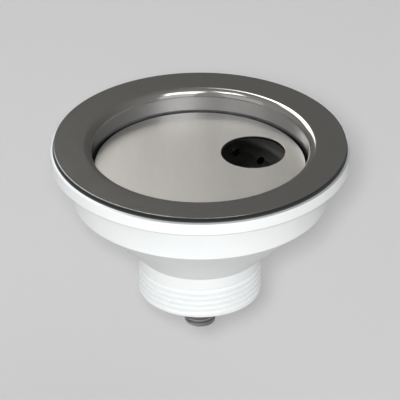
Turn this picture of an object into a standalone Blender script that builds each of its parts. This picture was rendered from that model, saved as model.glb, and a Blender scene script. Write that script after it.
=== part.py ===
"""Basket strainer waste for a kitchen sink, with a loose cover plate, as an assembly of separate pieces.

Metres, +Z up. The origin is on the drain's axis, in the plane where the flange beds on the sink: the sink's
sheet lies between the flange gasket above it and the rim gasket below it. The pieces are named as they would
come apart on a bench, and each one is a closed solid.
"""

import math
from typing import NamedTuple

import bmesh
import bpy
from mathutils import Matrix, Vector

MM = 0.001

# Fits shared by many pieces.
SEAT_GAP = 0.3 * MM  # between a piece and the face that it rests on
SIDE_GAP = 0.3 * MM  # round a piece that sits in a hole or a pocket
CUT_OVERRUN = 1.0 * MM  # how far a cutter runs past the faces that it cuts
WELD = 0.0005 * MM  # points this close are one

# Facets of round pieces, and of their rounded corners.
RING_SIDES = 48
BASKET_SIDES = 36  # twice the holes in a row, so that each hole stays within one facet
SMALL_SIDES = 24
SCREW_SIDES = 16
CORNER_FACET = 1.5 * MM  # the longest facet of a rounded corner, until it has its most facets
CORNER_STEPS = 3
SHARP_ANGLE = math.radians(32)  # steeper edges than this stay sharp in the shading

# Flange cup: one steel pressing with a flat flange, a straight mouth, a bowl and a recessed floor.
CUP_SHEET = 0.7 * MM
MOUTH_RADIUS = 42.3 * MM
LIP_ROUND = 2.8 * MM
FLANGE_WIDTH = 11.9 * MM  # flat ring outside the lip
FLANGE_EDGE_ROUND = 0.35 * MM
WALL_DEPTH = 18.0 * MM  # flange face to the foot of the straight mouth
WALL_DRAFT = 0.4 * MM
BOWL_ROUND = 6.0 * MM
SEAT_DEPTH = 33.0 * MM  # flange face to the ring that the strainer's seal closes on
SEAT_PROUD = 1.1 * MM  # the seat's outer radius over the outlet's
SEAT_WIDTH = 3.5 * MM
SEAT_ROUND = 1.2 * MM
RECESS_DRAFT = 0.8 * MM
FLOOR_RIM = 0.9 * MM  # floor left outside the drain openings
FLOOR_HUB_MARGIN = 1.2 * MM  # floor left round the screw's washer
SPOKE_WIDTH = 4.4 * MM
SPOKES = 4
SPOKE_TURN = math.radians(45)

# Gaskets above and below the sink's sheet.
FLANGE_GASKET_THICK = 0.5 * MM
FLANGE_GASKET_INSET = 0.5 * MM
RIM_GASKET_THICK = 2.2 * MM
RIM_GASKET_WIDTH = 6.0 * MM
RIM_GASKET_INSET = 2.6 * MM  # plastic left outside the gasket's groove

# Waste body: rim, chamber, funnel and threaded outlet in one white moulding.
RIM_PROUD = 1.2 * MM  # the rim's radius over the flange's
RIM_HEIGHT = 5.1 * MM
RIM_TOP_ROUND = 0.4 * MM
RIM_FOOT_ROUND = 0.8 * MM
CHAMBER_CLEARANCE = 3.9 * MM  # between the steel mouth and the chamber
CHAMBER_WALL = 2.6 * MM
CHAMBER_BELOW_WALL = 5.0 * MM
CHAMBER_EDGE_ROUND = 1.2 * MM
CHAMBER_LEDGE = 1.8 * MM  # flat underside before the funnel
FUNNEL_WALL = 2.4 * MM
OUTLET_BELOW_CUP = 2.7 * MM
OUTLET_RADIUS = 23.9 * MM  # 1 1/2 inch pipe thread, over its crests
OUTLET_LENGTH = 17.8 * MM
OUTLET_WALL = 2.4 * MM  # under the thread's roots
OUTLET_COLLAR = 4.4 * MM  # left plain above the thread
PIPE_THREAD_PITCH = 2.309 * MM
PIPE_THREAD_DEPTH_SHARE = 0.6403
PIPE_THREAD_CREST_SHARE = 1 / 6
PIPE_THREAD_FLANK = math.radians(27.5)

# Hub and ribs that hold the nut in the outlet.
HUB_DROP = 0.4 * MM
HUB_ROOF = 3.6 * MM
HUB_WALL = 1.9 * MM
RIB_WIDTH = 2.6 * MM

# Clamp screw, its washer and its nut.
SCREW_RADIUS = 6.0 * MM
SCREW_BORE_RADIUS = 3.75 * MM
SCREW_PROJECTION = 14.5 * MM  # below the outlet's end
SCREW_HEAD_RADIUS = 8.4 * MM
SCREW_HEAD_HEIGHT = 2.5 * MM
SCREW_HEAD_ROUND = 0.7 * MM
SCREW_SLOT_WIDTH = 2.2 * MM
SCREW_SLOT_DEPTH = 1.2 * MM
SCREW_THREAD_PITCH = 1.75 * MM
SCREW_THREAD_DEPTH_SHARE = 0.6134
SCREW_THREAD_CREST_SHARE = 1 / 8
SCREW_THREAD_FLANK = math.radians(30)
THREAD_POINT = 0.05 * MM  # a thread's blunt end, inside its roots
WASHER_PROUD = 0.8 * MM  # the washer's radius over the head's
WASHER_THICK = 1.0 * MM
NUT_ACROSS_FLATS = 18.0 * MM
NUT_HEIGHT = 8.4 * MM
NUT_CHAMFER = 0.7 * MM

# Strainer: perforated basket, its seal, and the stem that plugs into the screw.
BASKET_SHEET = 0.6 * MM
BASKET_SIDE_CLEARANCE = 1.5 * MM  # rim to the steel mouth
BASKET_RIM_WIDTH = 2.2 * MM
BASKET_RIM_ROUND = 0.7 * MM
BASKET_WALL_TAPER = 0.8 * MM
BASKET_CORNER_RISE = 1.6 * MM  # the basket's corner above the cup's
BASKET_CORNER_ROUND = 5.0 * MM
BASKET_FOOT_INSET = 1.0 * MM  # the foot's radius inside the seat's
BASKET_FOOT_ROUND = 2.0 * MM
BASKET_HOLE_RADIUS = 1.7 * MM
BASKET_HOLE_SIDES = 6
BASKET_ROW_SHARES = (0.32, 0.72)  # down the sloping part of the wall
BASKET_FLOOR_HOLES = 12
BASKET_FLOOR_HOLE_SHARE = 0.7  # of the foot's radius
SEAL_THICK = 2.2 * MM
SEAL_LAP = 2.5 * MM  # how far the seal covers the seat
SEAL_EDGE_ROUND = 0.7 * MM
SEAL_WASHER_RADIUS = 8.0 * MM
SEAL_WASHER_THICK = 0.8 * MM
STEM_NUT_ACROSS_FLATS = 8.0 * MM
STEM_NUT_HEIGHT = 3.2 * MM
PIN_RADIUS = 2.0 * MM
PIN_GROOVE_DEPTH = 0.7 * MM
PIN_BELOW_CLIP = 1.4 * MM
PIN_END_ROUND = 0.5 * MM
PIN_BELOW_CAP = 1.0 * MM  # the pin's top below the knob's cap
CLIP_RADIUS = 3.2 * MM
CLIP_THICK = 0.7 * MM
CLIP_MOUTH = math.radians(75)  # the angle that the clip leaves open
SLEEVE_LENGTH = 18.0 * MM
SLEEVE_COLLAR_RADIUS = 5.6 * MM
SLEEVE_COLLAR_HEIGHT = 1.0 * MM
SLEEVE_BORE_GAP = 0.35 * MM  # sleeve to screw bore
SLEEVE_SLOT_WIDTH = 0.9 * MM
SLEEVE_SLOT_SHARE = 0.6  # of the sleeve's length
SLEEVE_TIP_ROUND = 0.6 * MM
KNOB_WASHER_RADIUS = 10.0 * MM
KNOB_WASHER_THICK = 0.8 * MM
KNOB_RADIUS = 7.5 * MM
KNOB_NECK_RADIUS = 4.4 * MM
KNOB_FOOT_RADIUS = 8.6 * MM
KNOB_FOOT_HEIGHT = 1.6 * MM
KNOB_FOOT_ROUND = 0.8 * MM
KNOB_HEADROOM = 3.8 * MM  # the knob's top below the basket's rim
KNOB_CAP_HEIGHT = 6.0 * MM
KNOB_CAP_ROUND = 2.2 * MM
KNOB_CAP_FOOT_ROUND = 1.2 * MM
KNOB_NECK_ROUND = 1.2 * MM

# Cover plate.
COVER_RECESS = 8.9 * MM  # flange face to the cover's face
COVER_THICK = 1.2 * MM
COVER_SIDE_CLEARANCE = 1.4 * MM
COVER_EDGE_ROUND = 0.3 * MM
FINGER_HOLE_RADIUS = 12.5 * MM
FINGER_HOLE_MARGIN = 5.6 * MM  # plate left between the hole and the cover's edge
FINGER_HOLE_TURN = math.radians(25.5)
FINGER_HOLE_EDGE = 0.3 * MM

# Radii that follow from the sizes above.
LIP_RADIUS = MOUTH_RADIUS + LIP_ROUND
FLANGE_RADIUS = LIP_RADIUS + FLANGE_WIDTH
RIM_RADIUS = FLANGE_RADIUS + RIM_PROUD
CUP_OUTER_RADIUS = MOUTH_RADIUS + CUP_SHEET
CHAMBER_BORE = CUP_OUTER_RADIUS + CHAMBER_CLEARANCE
CHAMBER_RADIUS = CHAMBER_BORE + CHAMBER_WALL
SEAT_RADIUS = OUTLET_RADIUS + SEAT_PROUD
SEAT_INNER_RADIUS = SEAT_RADIUS - SEAT_WIDTH
FLOOR_RADIUS = SEAT_INNER_RADIUS - RECESS_DRAFT
WASHER_RADIUS = SCREW_HEAD_RADIUS + WASHER_PROUD
OPENING_INNER_RADIUS = WASHER_RADIUS + FLOOR_HUB_MARGIN
OPENING_OUTER_RADIUS = FLOOR_RADIUS - FLOOR_RIM
SCREW_HOLE_RADIUS = SCREW_RADIUS + SIDE_GAP
PIPE_THREAD_DEPTH = PIPE_THREAD_PITCH * PIPE_THREAD_DEPTH_SHARE
OUTLET_ROOT_RADIUS = OUTLET_RADIUS - PIPE_THREAD_DEPTH
OUTLET_BORE = OUTLET_ROOT_RADIUS - OUTLET_WALL
SCREW_THREAD_DEPTH = SCREW_THREAD_PITCH * SCREW_THREAD_DEPTH_SHARE
SCREW_ROOT_RADIUS = SCREW_RADIUS - SCREW_THREAD_DEPTH
NUT_CORNER_RADIUS = NUT_ACROSS_FLATS / math.sqrt(3)
HUB_RADIUS = NUT_CORNER_RADIUS + SIDE_GAP + HUB_WALL
SEAL_RADIUS = SEAT_INNER_RADIUS + SEAL_LAP
STEM_NUT_CORNER_RADIUS = STEM_NUT_ACROSS_FLATS / math.sqrt(3)
PIN_GROOVE_RADIUS = PIN_RADIUS - PIN_GROOVE_DEPTH
CLIP_BORE_RADIUS = PIN_GROOVE_RADIUS + SIDE_GAP
PIN_HOLE_RADIUS = PIN_RADIUS + SIDE_GAP
SLEEVE_RADIUS = SCREW_BORE_RADIUS - SLEEVE_BORE_GAP
BASKET_RIM_RADIUS = MOUTH_RADIUS - BASKET_SIDE_CLEARANCE
BASKET_WALL_RADIUS = BASKET_RIM_RADIUS - BASKET_RIM_WIDTH
BASKET_FOOT_RADIUS = SEAT_RADIUS - BASKET_FOOT_INSET
COVER_RADIUS = MOUTH_RADIUS - COVER_SIDE_CLEARANCE
FINGER_HOLE_REACH = COVER_RADIUS - FINGER_HOLE_MARGIN - FINGER_HOLE_RADIUS

# Levels that follow from the sizes above, from the flange down.
FLANGE_TOP = FLANGE_GASKET_THICK + SEAT_GAP + CUP_SHEET
COVER_TOP = FLANGE_TOP - COVER_RECESS
COVER_UNDERSIDE = COVER_TOP - COVER_THICK
BASKET_RIM_TOP = COVER_UNDERSIDE - SEAT_GAP
KNOB_TOP = BASKET_RIM_TOP - KNOB_HEADROOM
KNOB_CAP_UNDERSIDE = KNOB_TOP - KNOB_CAP_HEIGHT
PIN_TOP = KNOB_CAP_UNDERSIDE - PIN_BELOW_CAP
CUP_WALL_FOOT = FLANGE_TOP - WALL_DEPTH
SEAT_LEVEL = FLANGE_TOP - SEAT_DEPTH
SEAL_UNDERSIDE = SEAT_LEVEL + SEAT_GAP
SEAL_TOP = SEAL_UNDERSIDE + SEAL_THICK
BASKET_UNDERSIDE = SEAL_TOP + SEAT_GAP
BASKET_FLOOR = BASKET_UNDERSIDE + BASKET_SHEET
KNOB_WASHER_UNDERSIDE = BASKET_FLOOR + SEAT_GAP
KNOB_WASHER_TOP = KNOB_WASHER_UNDERSIDE + KNOB_WASHER_THICK
KNOB_UNDERSIDE = KNOB_WASHER_TOP + SEAT_GAP
SEAL_WASHER_TOP = SEAL_UNDERSIDE - SEAT_GAP
SEAL_WASHER_UNDERSIDE = SEAL_WASHER_TOP - SEAL_WASHER_THICK
STEM_NUT_TOP = SEAL_WASHER_UNDERSIDE - SEAT_GAP
STEM_NUT_UNDERSIDE = STEM_NUT_TOP - STEM_NUT_HEIGHT
SLEEVE_TOP = STEM_NUT_UNDERSIDE - SEAT_GAP
SLEEVE_COLLAR_UNDERSIDE = SLEEVE_TOP - SLEEVE_COLLAR_HEIGHT
SLEEVE_END = SLEEVE_TOP - SLEEVE_LENGTH
CLIP_TOP = SLEEVE_END - SEAT_GAP
CLIP_UNDERSIDE = CLIP_TOP - CLIP_THICK
PIN_END = CLIP_UNDERSIDE - SEAT_GAP - PIN_BELOW_CLIP
SCREW_HEAD_TOP = SLEEVE_COLLAR_UNDERSIDE - SEAT_GAP
SCREW_HEAD_UNDERSIDE = SCREW_HEAD_TOP - SCREW_HEAD_HEIGHT
WASHER_TOP = SCREW_HEAD_UNDERSIDE - SEAT_GAP
CUP_FLOOR = WASHER_TOP - WASHER_THICK - SEAT_GAP
CUP_UNDERSIDE = CUP_FLOOR - CUP_SHEET
RIM_TOP = -SEAT_GAP
RIM_UNDERSIDE = RIM_TOP - RIM_HEIGHT
CHAMBER_UNDERSIDE = CUP_WALL_FOOT - CHAMBER_BELOW_WALL
OUTLET_TOP = CUP_UNDERSIDE - OUTLET_BELOW_CUP
OUTLET_END = OUTLET_TOP - OUTLET_LENGTH
HUB_TOP = OUTLET_TOP - HUB_DROP
NUT_TOP = HUB_TOP - HUB_ROOF - SEAT_GAP
HUB_UNDERSIDE = NUT_TOP - NUT_HEIGHT
SCREW_END = OUTLET_END - SCREW_PROJECTION
OUTLET_THREAD_TOP = OUTLET_TOP - OUTLET_COLLAR


class Thread(NamedTuple):
    """An outside thread between two heights, blunt at its foot and running out at its top."""

    radius: float
    root_radius: float
    pitch: float
    crest_share: float
    flank: float
    low: float
    high: float

    @property
    def foot_radius(self):
        """The radius of the thread's lower end."""
        return self.root_radius - THREAD_POINT

    def rows(self):
        """The height in one pitch and the radius of each row: both edges of the crest, then of the root."""
        crest = self.pitch * self.crest_share
        run = (self.radius - self.root_radius) * math.tan(self.flank)
        return (
            (0, self.radius),
            (crest, self.radius),
            (crest + run, self.root_radius),
            (self.pitch - run, self.root_radius),
        )

    def column(self, turn_share):
        """The (radius, height) points up one side of the thread, at that share of a turn."""
        points = []
        for turn in range(-2, math.ceil((self.high - self.low) / self.pitch) + 1):
            for rise, radius in self.rows():
                height = self.low + rise + self.pitch * (turn + turn_share)
                fade = min(max((self.high - height) / self.pitch, 0), 1)
                radius = self.radius - (self.radius - radius) * fade
                radius = min(radius, self.foot_radius + max(height - self.low, 0))
                points.append((radius, min(max(height, self.low), self.high)))
        return points

    def add_faces(self, bm, sides):
        """The faces of the thread, column by column."""
        columns = []
        for i in range(sides + 1):
            angle = math.tau * i / sides
            column = self.column(i / sides)
            columns.append([bm.verts.new((r * math.cos(angle), r * math.sin(angle), z)) for r, z in column])
        for first, second in zip(columns, columns[1:]):
            for a, b, c, d in zip(first, second, second[1:], first[1:]):
                bm.faces.new((a, b, c, d))


def finish(name, colour, roughness, metallic):
    """A plain material: linear colour, roughness and metallic value."""
    material = bpy.data.materials.new(name)
    material.use_nodes = True
    shader = material.node_tree.nodes["Principled BSDF"]
    shader.inputs["Base Color"].default_value = (*colour, 1.0)
    shader.inputs["Roughness"].default_value = roughness
    shader.inputs["Metallic"].default_value = metallic
    return material


def rounded(corners):
    """The closed outline through (radius, height, rounding) corners, each rounding drawn as an arc."""
    outline = []
    count = len(corners)
    for i, (x, z, radius) in enumerate(corners):
        if radius <= 0:
            outline.append((x, z))
            continue
        before, after = corners[i - 1], corners[(i + 1) % count]
        first = math.atan2(before[1] - z, before[0] - x)
        turn = (math.atan2(after[1] - z, after[0] - x) - first) % math.tau
        half = turn / 2 if turn < math.pi else turn / 2 - math.pi
        reach = radius / abs(math.sin(half))
        middle = first + half
        centre = (x + reach * math.cos(middle), z + reach * math.sin(middle))
        sweep = math.copysign(math.pi - 2 * abs(half), -half)
        start = middle + math.pi - sweep / 2
        steps = min(CORNER_STEPS, math.ceil(radius * abs(sweep) / CORNER_FACET))
        for step in range(steps + 1):
            angle = start + sweep * step / steps
            outline.append((centre[0] + radius * math.cos(angle), centre[1] + radius * math.sin(angle)))
    return outline


def pressed(corners, thickness, edge_round=0.0):
    """The closed corners of a sheet of that thickness whose upper face follows the open corners given.

    The corners run from the rim towards the axis, and the sheet's thickness lies on their outer side.
    """
    lower = []
    last = len(corners) - 1
    for i, (x, z, radius) in enumerate(corners):
        ways = []
        if i > 0:
            ways.append((x - corners[i - 1][0], z - corners[i - 1][1]))
        if i < last:
            ways.append((corners[i + 1][0] - x, corners[i + 1][1] - z))
        normals = [(-dz / math.hypot(dx, dz), dx / math.hypot(dx, dz)) for dx, dz in ways]
        sum_x = sum(n[0] for n in normals)
        sum_z = sum(n[1] for n in normals)
        scale = thickness * len(normals) / (sum_x ** 2 + sum_z ** 2)
        turn = ways[0][0] * ways[-1][1] - ways[0][1] * ways[-1][0]
        other = radius + math.copysign(thickness, -turn) if radius > 0 else 0.0
        lower.append((x + sum_x * scale, z + sum_z * scale, max(other, 0.0)))
    first = (corners[0][0], corners[0][1], edge_round)
    return [first, *corners[1:], *reversed(lower)]


def add_object(name, bm, material):
    """A scene object from a bmesh, its faces pointing out and its shallow edges shaded smooth."""
    bmesh.ops.remove_doubles(bm, verts=bm.verts, dist=WELD)
    bmesh.ops.recalc_face_normals(bm, faces=bm.faces)
    mesh = bpy.data.meshes.new(name)
    bm.to_mesh(mesh)
    bm.free()
    mesh.shade_smooth()
    mesh.set_sharp_from_angle(angle=SHARP_ANGLE)
    obj = bpy.data.objects.new(name, mesh)
    if material:
        mesh.materials.append(material)
    bpy.context.scene.collection.objects.link(obj)
    return obj


def turned(name, outline, sides, material=None, thread=None):
    """A closed outline of (radius, height) points, spun round the Z axis.

    A thread takes the place of the outline's closing edge.
    """
    bm = bmesh.new()
    points = [bm.verts.new((radius, 0.0, height)) for radius, height in outline]
    edges = []
    ahead = points[1:] if thread else points[1:] + points[:1]
    for a, b in zip(points, ahead):
        if a.co.x > WELD or b.co.x > WELD:
            edges.append(bm.edges.new((a, b)))
    bmesh.ops.spin(bm, geom=points + edges, cent=(0, 0, 0), axis=(0, 0, 1), angle=math.tau, steps=sides)
    if thread:
        thread.add_faces(bm, sides)
    return add_object(name, bm, material)


def add_prism(bm, outline, low, high, place=Matrix()):
    """Adds a closed outline of (x, y) points, extruded from one height to another and then put in place."""
    face = bm.faces.new([bm.verts.new(place @ Vector((x, y, low))) for x, y in outline])
    grown = bmesh.ops.extrude_face_region(bm, geom=[face])["geom"]
    risen = [v for v in grown if isinstance(v, bmesh.types.BMVert)]
    bmesh.ops.translate(bm, verts=risen, vec=place.to_3x3() @ Vector((0, 0, high - low)))


def prism(name, outline, low, high, material=None):
    """One extruded outline as an object."""
    bm = bmesh.new()
    add_prism(bm, outline, low, high)
    return add_object(name, bm, material)


def ring_corners(inner, outer, low, high, edge_round=0.0):
    """The corners of a plain ring's section, its outer edges rounded."""
    return [(inner, low, 0), (outer, low, edge_round), (outer, high, edge_round), (inner, high, 0)]


def regular(radius, sides, turn=0.0):
    """The points of a regular polygon."""
    return [
        (radius * math.cos(turn + math.tau * i / sides), radius * math.sin(turn + math.tau * i / sides))
        for i in range(sides)
    ]


def combine(obj, other, operation):
    """A Boolean on obj whose other object is kept as a hidden guide."""
    other.hide_render = True
    other.display_type = "WIRE"
    modifier = obj.modifiers.new(other.name, "BOOLEAN")
    modifier.operation = operation
    modifier.object = other


def build_flange_cup(steel):
    """The pressed steel cup: flange, mouth, bowl, seal seat and a floor with openings between its spokes."""
    corners = [
        (FLANGE_RADIUS, FLANGE_TOP, 0),
        (MOUTH_RADIUS, FLANGE_TOP, LIP_ROUND),
        (MOUTH_RADIUS - WALL_DRAFT, CUP_WALL_FOOT, BOWL_ROUND),
        (SEAT_RADIUS, SEAT_LEVEL, SEAT_ROUND),
        (SEAT_INNER_RADIUS, SEAT_LEVEL, SEAT_ROUND),
        (FLOOR_RADIUS, CUP_FLOOR, SEAT_ROUND),
        (SCREW_HOLE_RADIUS, CUP_FLOOR, 0),
    ]
    section = pressed(corners, CUP_SHEET, FLANGE_EDGE_ROUND)
    cup = turned("flange_cup", rounded(section), RING_SIDES, steel)
    bm = bmesh.new()
    for i in range(SPOKES):
        add_prism(bm, sector_outline(i), CUP_UNDERSIDE - CUT_OVERRUN, CUP_FLOOR + CUT_OVERRUN)
    combine(cup, add_object("floor_openings", bm, None), "DIFFERENCE")
    return cup


def sector_outline(index):
    """The outline of one drain opening in the cup's floor, between two spokes with parallel sides."""
    middle = SPOKE_TURN + math.tau * (index + 0.5) / SPOKES
    outline = []
    for radius, way in ((OPENING_OUTER_RADIUS, 1), (OPENING_INNER_RADIUS, -1)):
        reach = math.pi / SPOKES - math.asin(SPOKE_WIDTH / 2 / radius)
        for step in range(-CORNER_STEPS, CORNER_STEPS + 1):
            angle = middle + way * reach * step / CORNER_STEPS
            outline.append((radius * math.cos(angle), radius * math.sin(angle)))
    return outline


def build_flange_gasket(rubber):
    """The thin ring between the flange and the sink."""
    section = ring_corners(
        LIP_RADIUS + SIDE_GAP, FLANGE_RADIUS - FLANGE_GASKET_INSET, 0, FLANGE_GASKET_THICK
    )
    return turned("flange_gasket", rounded(section), RING_SIDES, rubber)


def rim_gasket_radii():
    """Inner and outer radius of the gasket in the waste body's rim."""
    outer = RIM_RADIUS - RIM_GASKET_INSET - SIDE_GAP
    return outer - RIM_GASKET_WIDTH, outer


def build_rim_gasket(rubber):
    """The thick ring that the waste body presses against the sink's underside."""
    inner, outer = rim_gasket_radii()
    section = ring_corners(inner, outer, RIM_TOP - RIM_GASKET_THICK, RIM_TOP)
    return turned("rim_gasket", rounded(section), RING_SIDES, rubber)


def build_waste_body(plastic):
    """The white moulding: rim with its gasket groove, chamber, funnel, hub on ribs, and threaded outlet."""
    inner, outer = rim_gasket_radii()
    groove_floor = RIM_TOP - RIM_GASKET_THICK - SEAT_GAP
    slope = math.atan2(CHAMBER_RADIUS - CHAMBER_LEDGE - OUTLET_RADIUS, CHAMBER_UNDERSIDE - OUTLET_TOP)
    level_wall = FUNNEL_WALL / math.sin(slope)  # the funnel's wall, measured straight down
    funnel_run = (CHAMBER_UNDERSIDE - OUTLET_TOP) / (CHAMBER_RADIUS - CHAMBER_LEDGE - OUTLET_RADIUS)
    funnel_foot = OUTLET_TOP + level_wall - (OUTLET_RADIUS - OUTLET_BORE) * funnel_run
    funnel_head = OUTLET_TOP + level_wall + (CHAMBER_BORE - OUTLET_RADIUS) * funnel_run
    thread = Thread(
        OUTLET_RADIUS,
        OUTLET_ROOT_RADIUS,
        PIPE_THREAD_PITCH,
        PIPE_THREAD_CREST_SHARE,
        PIPE_THREAD_FLANK,
        OUTLET_END,
        OUTLET_THREAD_TOP,
    )
    corners = [
        (OUTLET_RADIUS, OUTLET_THREAD_TOP, 0),
        (OUTLET_RADIUS, OUTLET_TOP, 0),
        (CHAMBER_RADIUS - CHAMBER_LEDGE, CHAMBER_UNDERSIDE, CHAMBER_EDGE_ROUND),
        (CHAMBER_RADIUS, CHAMBER_UNDERSIDE, CHAMBER_EDGE_ROUND),
        (CHAMBER_RADIUS, RIM_UNDERSIDE, CHAMBER_EDGE_ROUND),
        (RIM_RADIUS, RIM_UNDERSIDE, RIM_FOOT_ROUND),
        (RIM_RADIUS, RIM_TOP, RIM_TOP_ROUND),
        (outer + SIDE_GAP, RIM_TOP, 0),
        (outer + SIDE_GAP, groove_floor, 0),
        (inner - SIDE_GAP, groove_floor, 0),
        (inner - SIDE_GAP, RIM_TOP, 0),
        (CHAMBER_BORE, RIM_TOP, 0),
        (CHAMBER_BORE, funnel_head, CHAMBER_EDGE_ROUND),
        (OUTLET_BORE, funnel_foot, CHAMBER_EDGE_ROUND),
        (OUTLET_BORE, OUTLET_END, 0),
        (thread.foot_radius, OUTLET_END, 0),
    ]
    body = turned("waste_body", rounded(corners), RING_SIDES, plastic, thread)
    combine(body, hub_and_ribs(), "UNION")
    hole = turned("screw_hole", cylinder_outline(SCREW_HOLE_RADIUS, HUB_UNDERSIDE, HUB_TOP), SMALL_SIDES)
    combine(body, hole, "DIFFERENCE")
    pocket_flats = NUT_ACROSS_FLATS + 2 * SIDE_GAP
    pocket = regular(pocket_flats / math.sqrt(3), 6)
    combine(
        body,
        prism("nut_pocket", pocket, HUB_UNDERSIDE - CUT_OVERRUN, NUT_TOP + SEAT_GAP),
        "DIFFERENCE",
    )
    return body


def cylinder_outline(radius, low, high):
    """A solid cylinder's section, run past both ends as a cutter is."""
    return [
        (0, low - CUT_OVERRUN),
        (radius, low - CUT_OVERRUN),
        (radius, high + CUT_OVERRUN),
        (0, high + CUT_OVERRUN),
    ]


def hub_and_ribs():
    """The hub that holds the nut, and the ribs that carry it from the outlet's wall."""
    reach = OUTLET_BORE + OUTLET_WALL / 2
    arc = SMALL_SIDES // SPOKES
    outline = []
    for i in range(SPOKES):
        middle = SPOKE_TURN + math.tau * i / SPOKES
        half = math.asin(RIB_WIDTH / 2 / HUB_RADIUS)
        for way in (-1, 1):
            x, y = math.cos(middle), math.sin(middle)
            side = way * RIB_WIDTH / 2
            if way < 0:
                outline.append((HUB_RADIUS * math.cos(middle - half), HUB_RADIUS * math.sin(middle - half)))
            outline.append((reach * x - side * y, reach * y + side * x))
            if way > 0:
                outline.append((HUB_RADIUS * math.cos(middle + half), HUB_RADIUS * math.sin(middle + half)))
        span = math.tau / SPOKES - 2 * half
        for step in range(1, arc):
            angle = middle + half + span * step / arc
            outline.append((HUB_RADIUS * math.cos(angle), HUB_RADIUS * math.sin(angle)))
    return prism("hub_and_ribs", outline, HUB_UNDERSIDE, HUB_TOP)


def build_screw_nut(brass):
    """The hexagon nut, trapped in the hub from below."""
    nut = prism("screw_nut", regular(NUT_CORNER_RADIUS, 6), HUB_UNDERSIDE, NUT_TOP, brass)
    chamfered = [
        (0, HUB_UNDERSIDE, 0),
        (NUT_CORNER_RADIUS - NUT_CHAMFER, HUB_UNDERSIDE, 0),
        (NUT_CORNER_RADIUS + CUT_OVERRUN, HUB_UNDERSIDE + NUT_CHAMFER + CUT_OVERRUN, 0),
        (NUT_CORNER_RADIUS + CUT_OVERRUN, NUT_TOP + CUT_OVERRUN, 0),
        (0, NUT_TOP + CUT_OVERRUN, 0),
    ]
    combine(nut, turned("nut_blank", rounded(chamfered), SMALL_SIDES), "INTERSECT")
    bore = turned("nut_bore", cylinder_outline(SCREW_HOLE_RADIUS, HUB_UNDERSIDE, NUT_TOP), SMALL_SIDES)
    combine(nut, bore, "DIFFERENCE")
    return nut


def build_clamp_screw(steel):
    """The hollow screw: slotted head, bore for the strainer's stem, thread down to its end."""
    thread = Thread(
        SCREW_RADIUS,
        SCREW_ROOT_RADIUS,
        SCREW_THREAD_PITCH,
        SCREW_THREAD_CREST_SHARE,
        SCREW_THREAD_FLANK,
        SCREW_END,
        NUT_TOP,
    )
    corners = [
        (SCREW_RADIUS, NUT_TOP, 0),
        (SCREW_RADIUS, SCREW_HEAD_UNDERSIDE, 0),
        (SCREW_HEAD_RADIUS, SCREW_HEAD_UNDERSIDE, 0),
        (SCREW_HEAD_RADIUS, SCREW_HEAD_TOP, SCREW_HEAD_ROUND),
        (SCREW_BORE_RADIUS, SCREW_HEAD_TOP, 0),
        (SCREW_BORE_RADIUS, SCREW_END, 0),
        (thread.foot_radius, SCREW_END, 0),
    ]
    screw = turned("clamp_screw", rounded(corners), SCREW_SIDES, steel, thread)
    half_width = SCREW_SLOT_WIDTH / 2
    half_length = SCREW_HEAD_RADIUS + CUT_OVERRUN
    slot = [
        (-half_length, -half_width),
        (half_length, -half_width),
        (half_length, half_width),
        (-half_length, half_width),
    ]
    combine(
        screw,
        prism("head_slot", slot, SCREW_HEAD_TOP - SCREW_SLOT_DEPTH, SCREW_HEAD_TOP + CUT_OVERRUN),
        "DIFFERENCE",
    )
    return screw


def build_screw_washer(steel):
    """The washer that spreads the screw's pull over the cup's floor."""
    section = ring_corners(SCREW_HOLE_RADIUS, WASHER_RADIUS, WASHER_TOP - WASHER_THICK, WASHER_TOP)
    return turned("screw_washer", rounded(section), SMALL_SIDES, steel)


def basket_corners():
    """The upper face of the basket, from its rim to the hole for the pin."""
    return [
        (BASKET_RIM_RADIUS, BASKET_RIM_TOP, 0),
        (BASKET_WALL_RADIUS, BASKET_RIM_TOP, BASKET_RIM_ROUND),
        (BASKET_WALL_RADIUS - BASKET_WALL_TAPER, CUP_WALL_FOOT + BASKET_CORNER_RISE, BASKET_CORNER_ROUND),
        (BASKET_FOOT_RADIUS, BASKET_FLOOR, BASKET_FOOT_ROUND),
        (PIN_HOLE_RADIUS, BASKET_FLOOR, 0),
    ]


def build_basket(steel):
    """The perforated basket that stands on its seal and carries the cover on its rim."""
    basket = turned("basket", rounded(pressed(basket_corners(), BASKET_SHEET)), BASKET_SIDES, steel)
    hole = regular(BASKET_HOLE_RADIUS, BASKET_HOLE_SIDES, math.pi / BASKET_HOLE_SIDES)
    bm = bmesh.new()
    for place in basket_hole_places():
        add_prism(bm, hole, -BASKET_SHEET - CUT_OVERRUN, CUT_OVERRUN, place)
    combine(basket, add_object("basket_holes", bm, None), "DIFFERENCE")
    return basket


def basket_hole_places():
    """Where each hole meets the basket's upper face, with its Z axis square to the face."""
    top, foot = basket_corners()[2:4]
    slope = math.atan2(top[0] - foot[0], top[1] - foot[1])
    tilt = Matrix.Rotation(slope - math.pi / 2, 4, "Y")
    places = []
    for row, share in enumerate(BASKET_ROW_SHARES):
        centre = Vector((top[0] + (foot[0] - top[0]) * share, 0, top[1] + (foot[1] - top[1]) * share))
        for i in range(BASKET_SIDES // 2):
            turn = Matrix.Rotation(math.tau * (2 * i + row + 0.5) / BASKET_SIDES, 4, "Z")
            places.append(turn @ Matrix.Translation(centre) @ tilt)
    centre = Vector((BASKET_FOOT_RADIUS * BASKET_FLOOR_HOLE_SHARE, 0, BASKET_FLOOR))
    for i in range(BASKET_FLOOR_HOLES):
        turn = Matrix.Rotation(math.tau * (i + 0.5) / BASKET_FLOOR_HOLES, 4, "Z")
        places.append(turn @ Matrix.Translation(centre))
    return places


def build_basket_seal(rubber):
    """The disc that closes the cup's seat when the strainer is down."""
    section = ring_corners(PIN_HOLE_RADIUS, SEAL_RADIUS, SEAL_UNDERSIDE, SEAL_TOP, SEAL_EDGE_ROUND)
    return turned("basket_seal", rounded(section), RING_SIDES, rubber)


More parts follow.
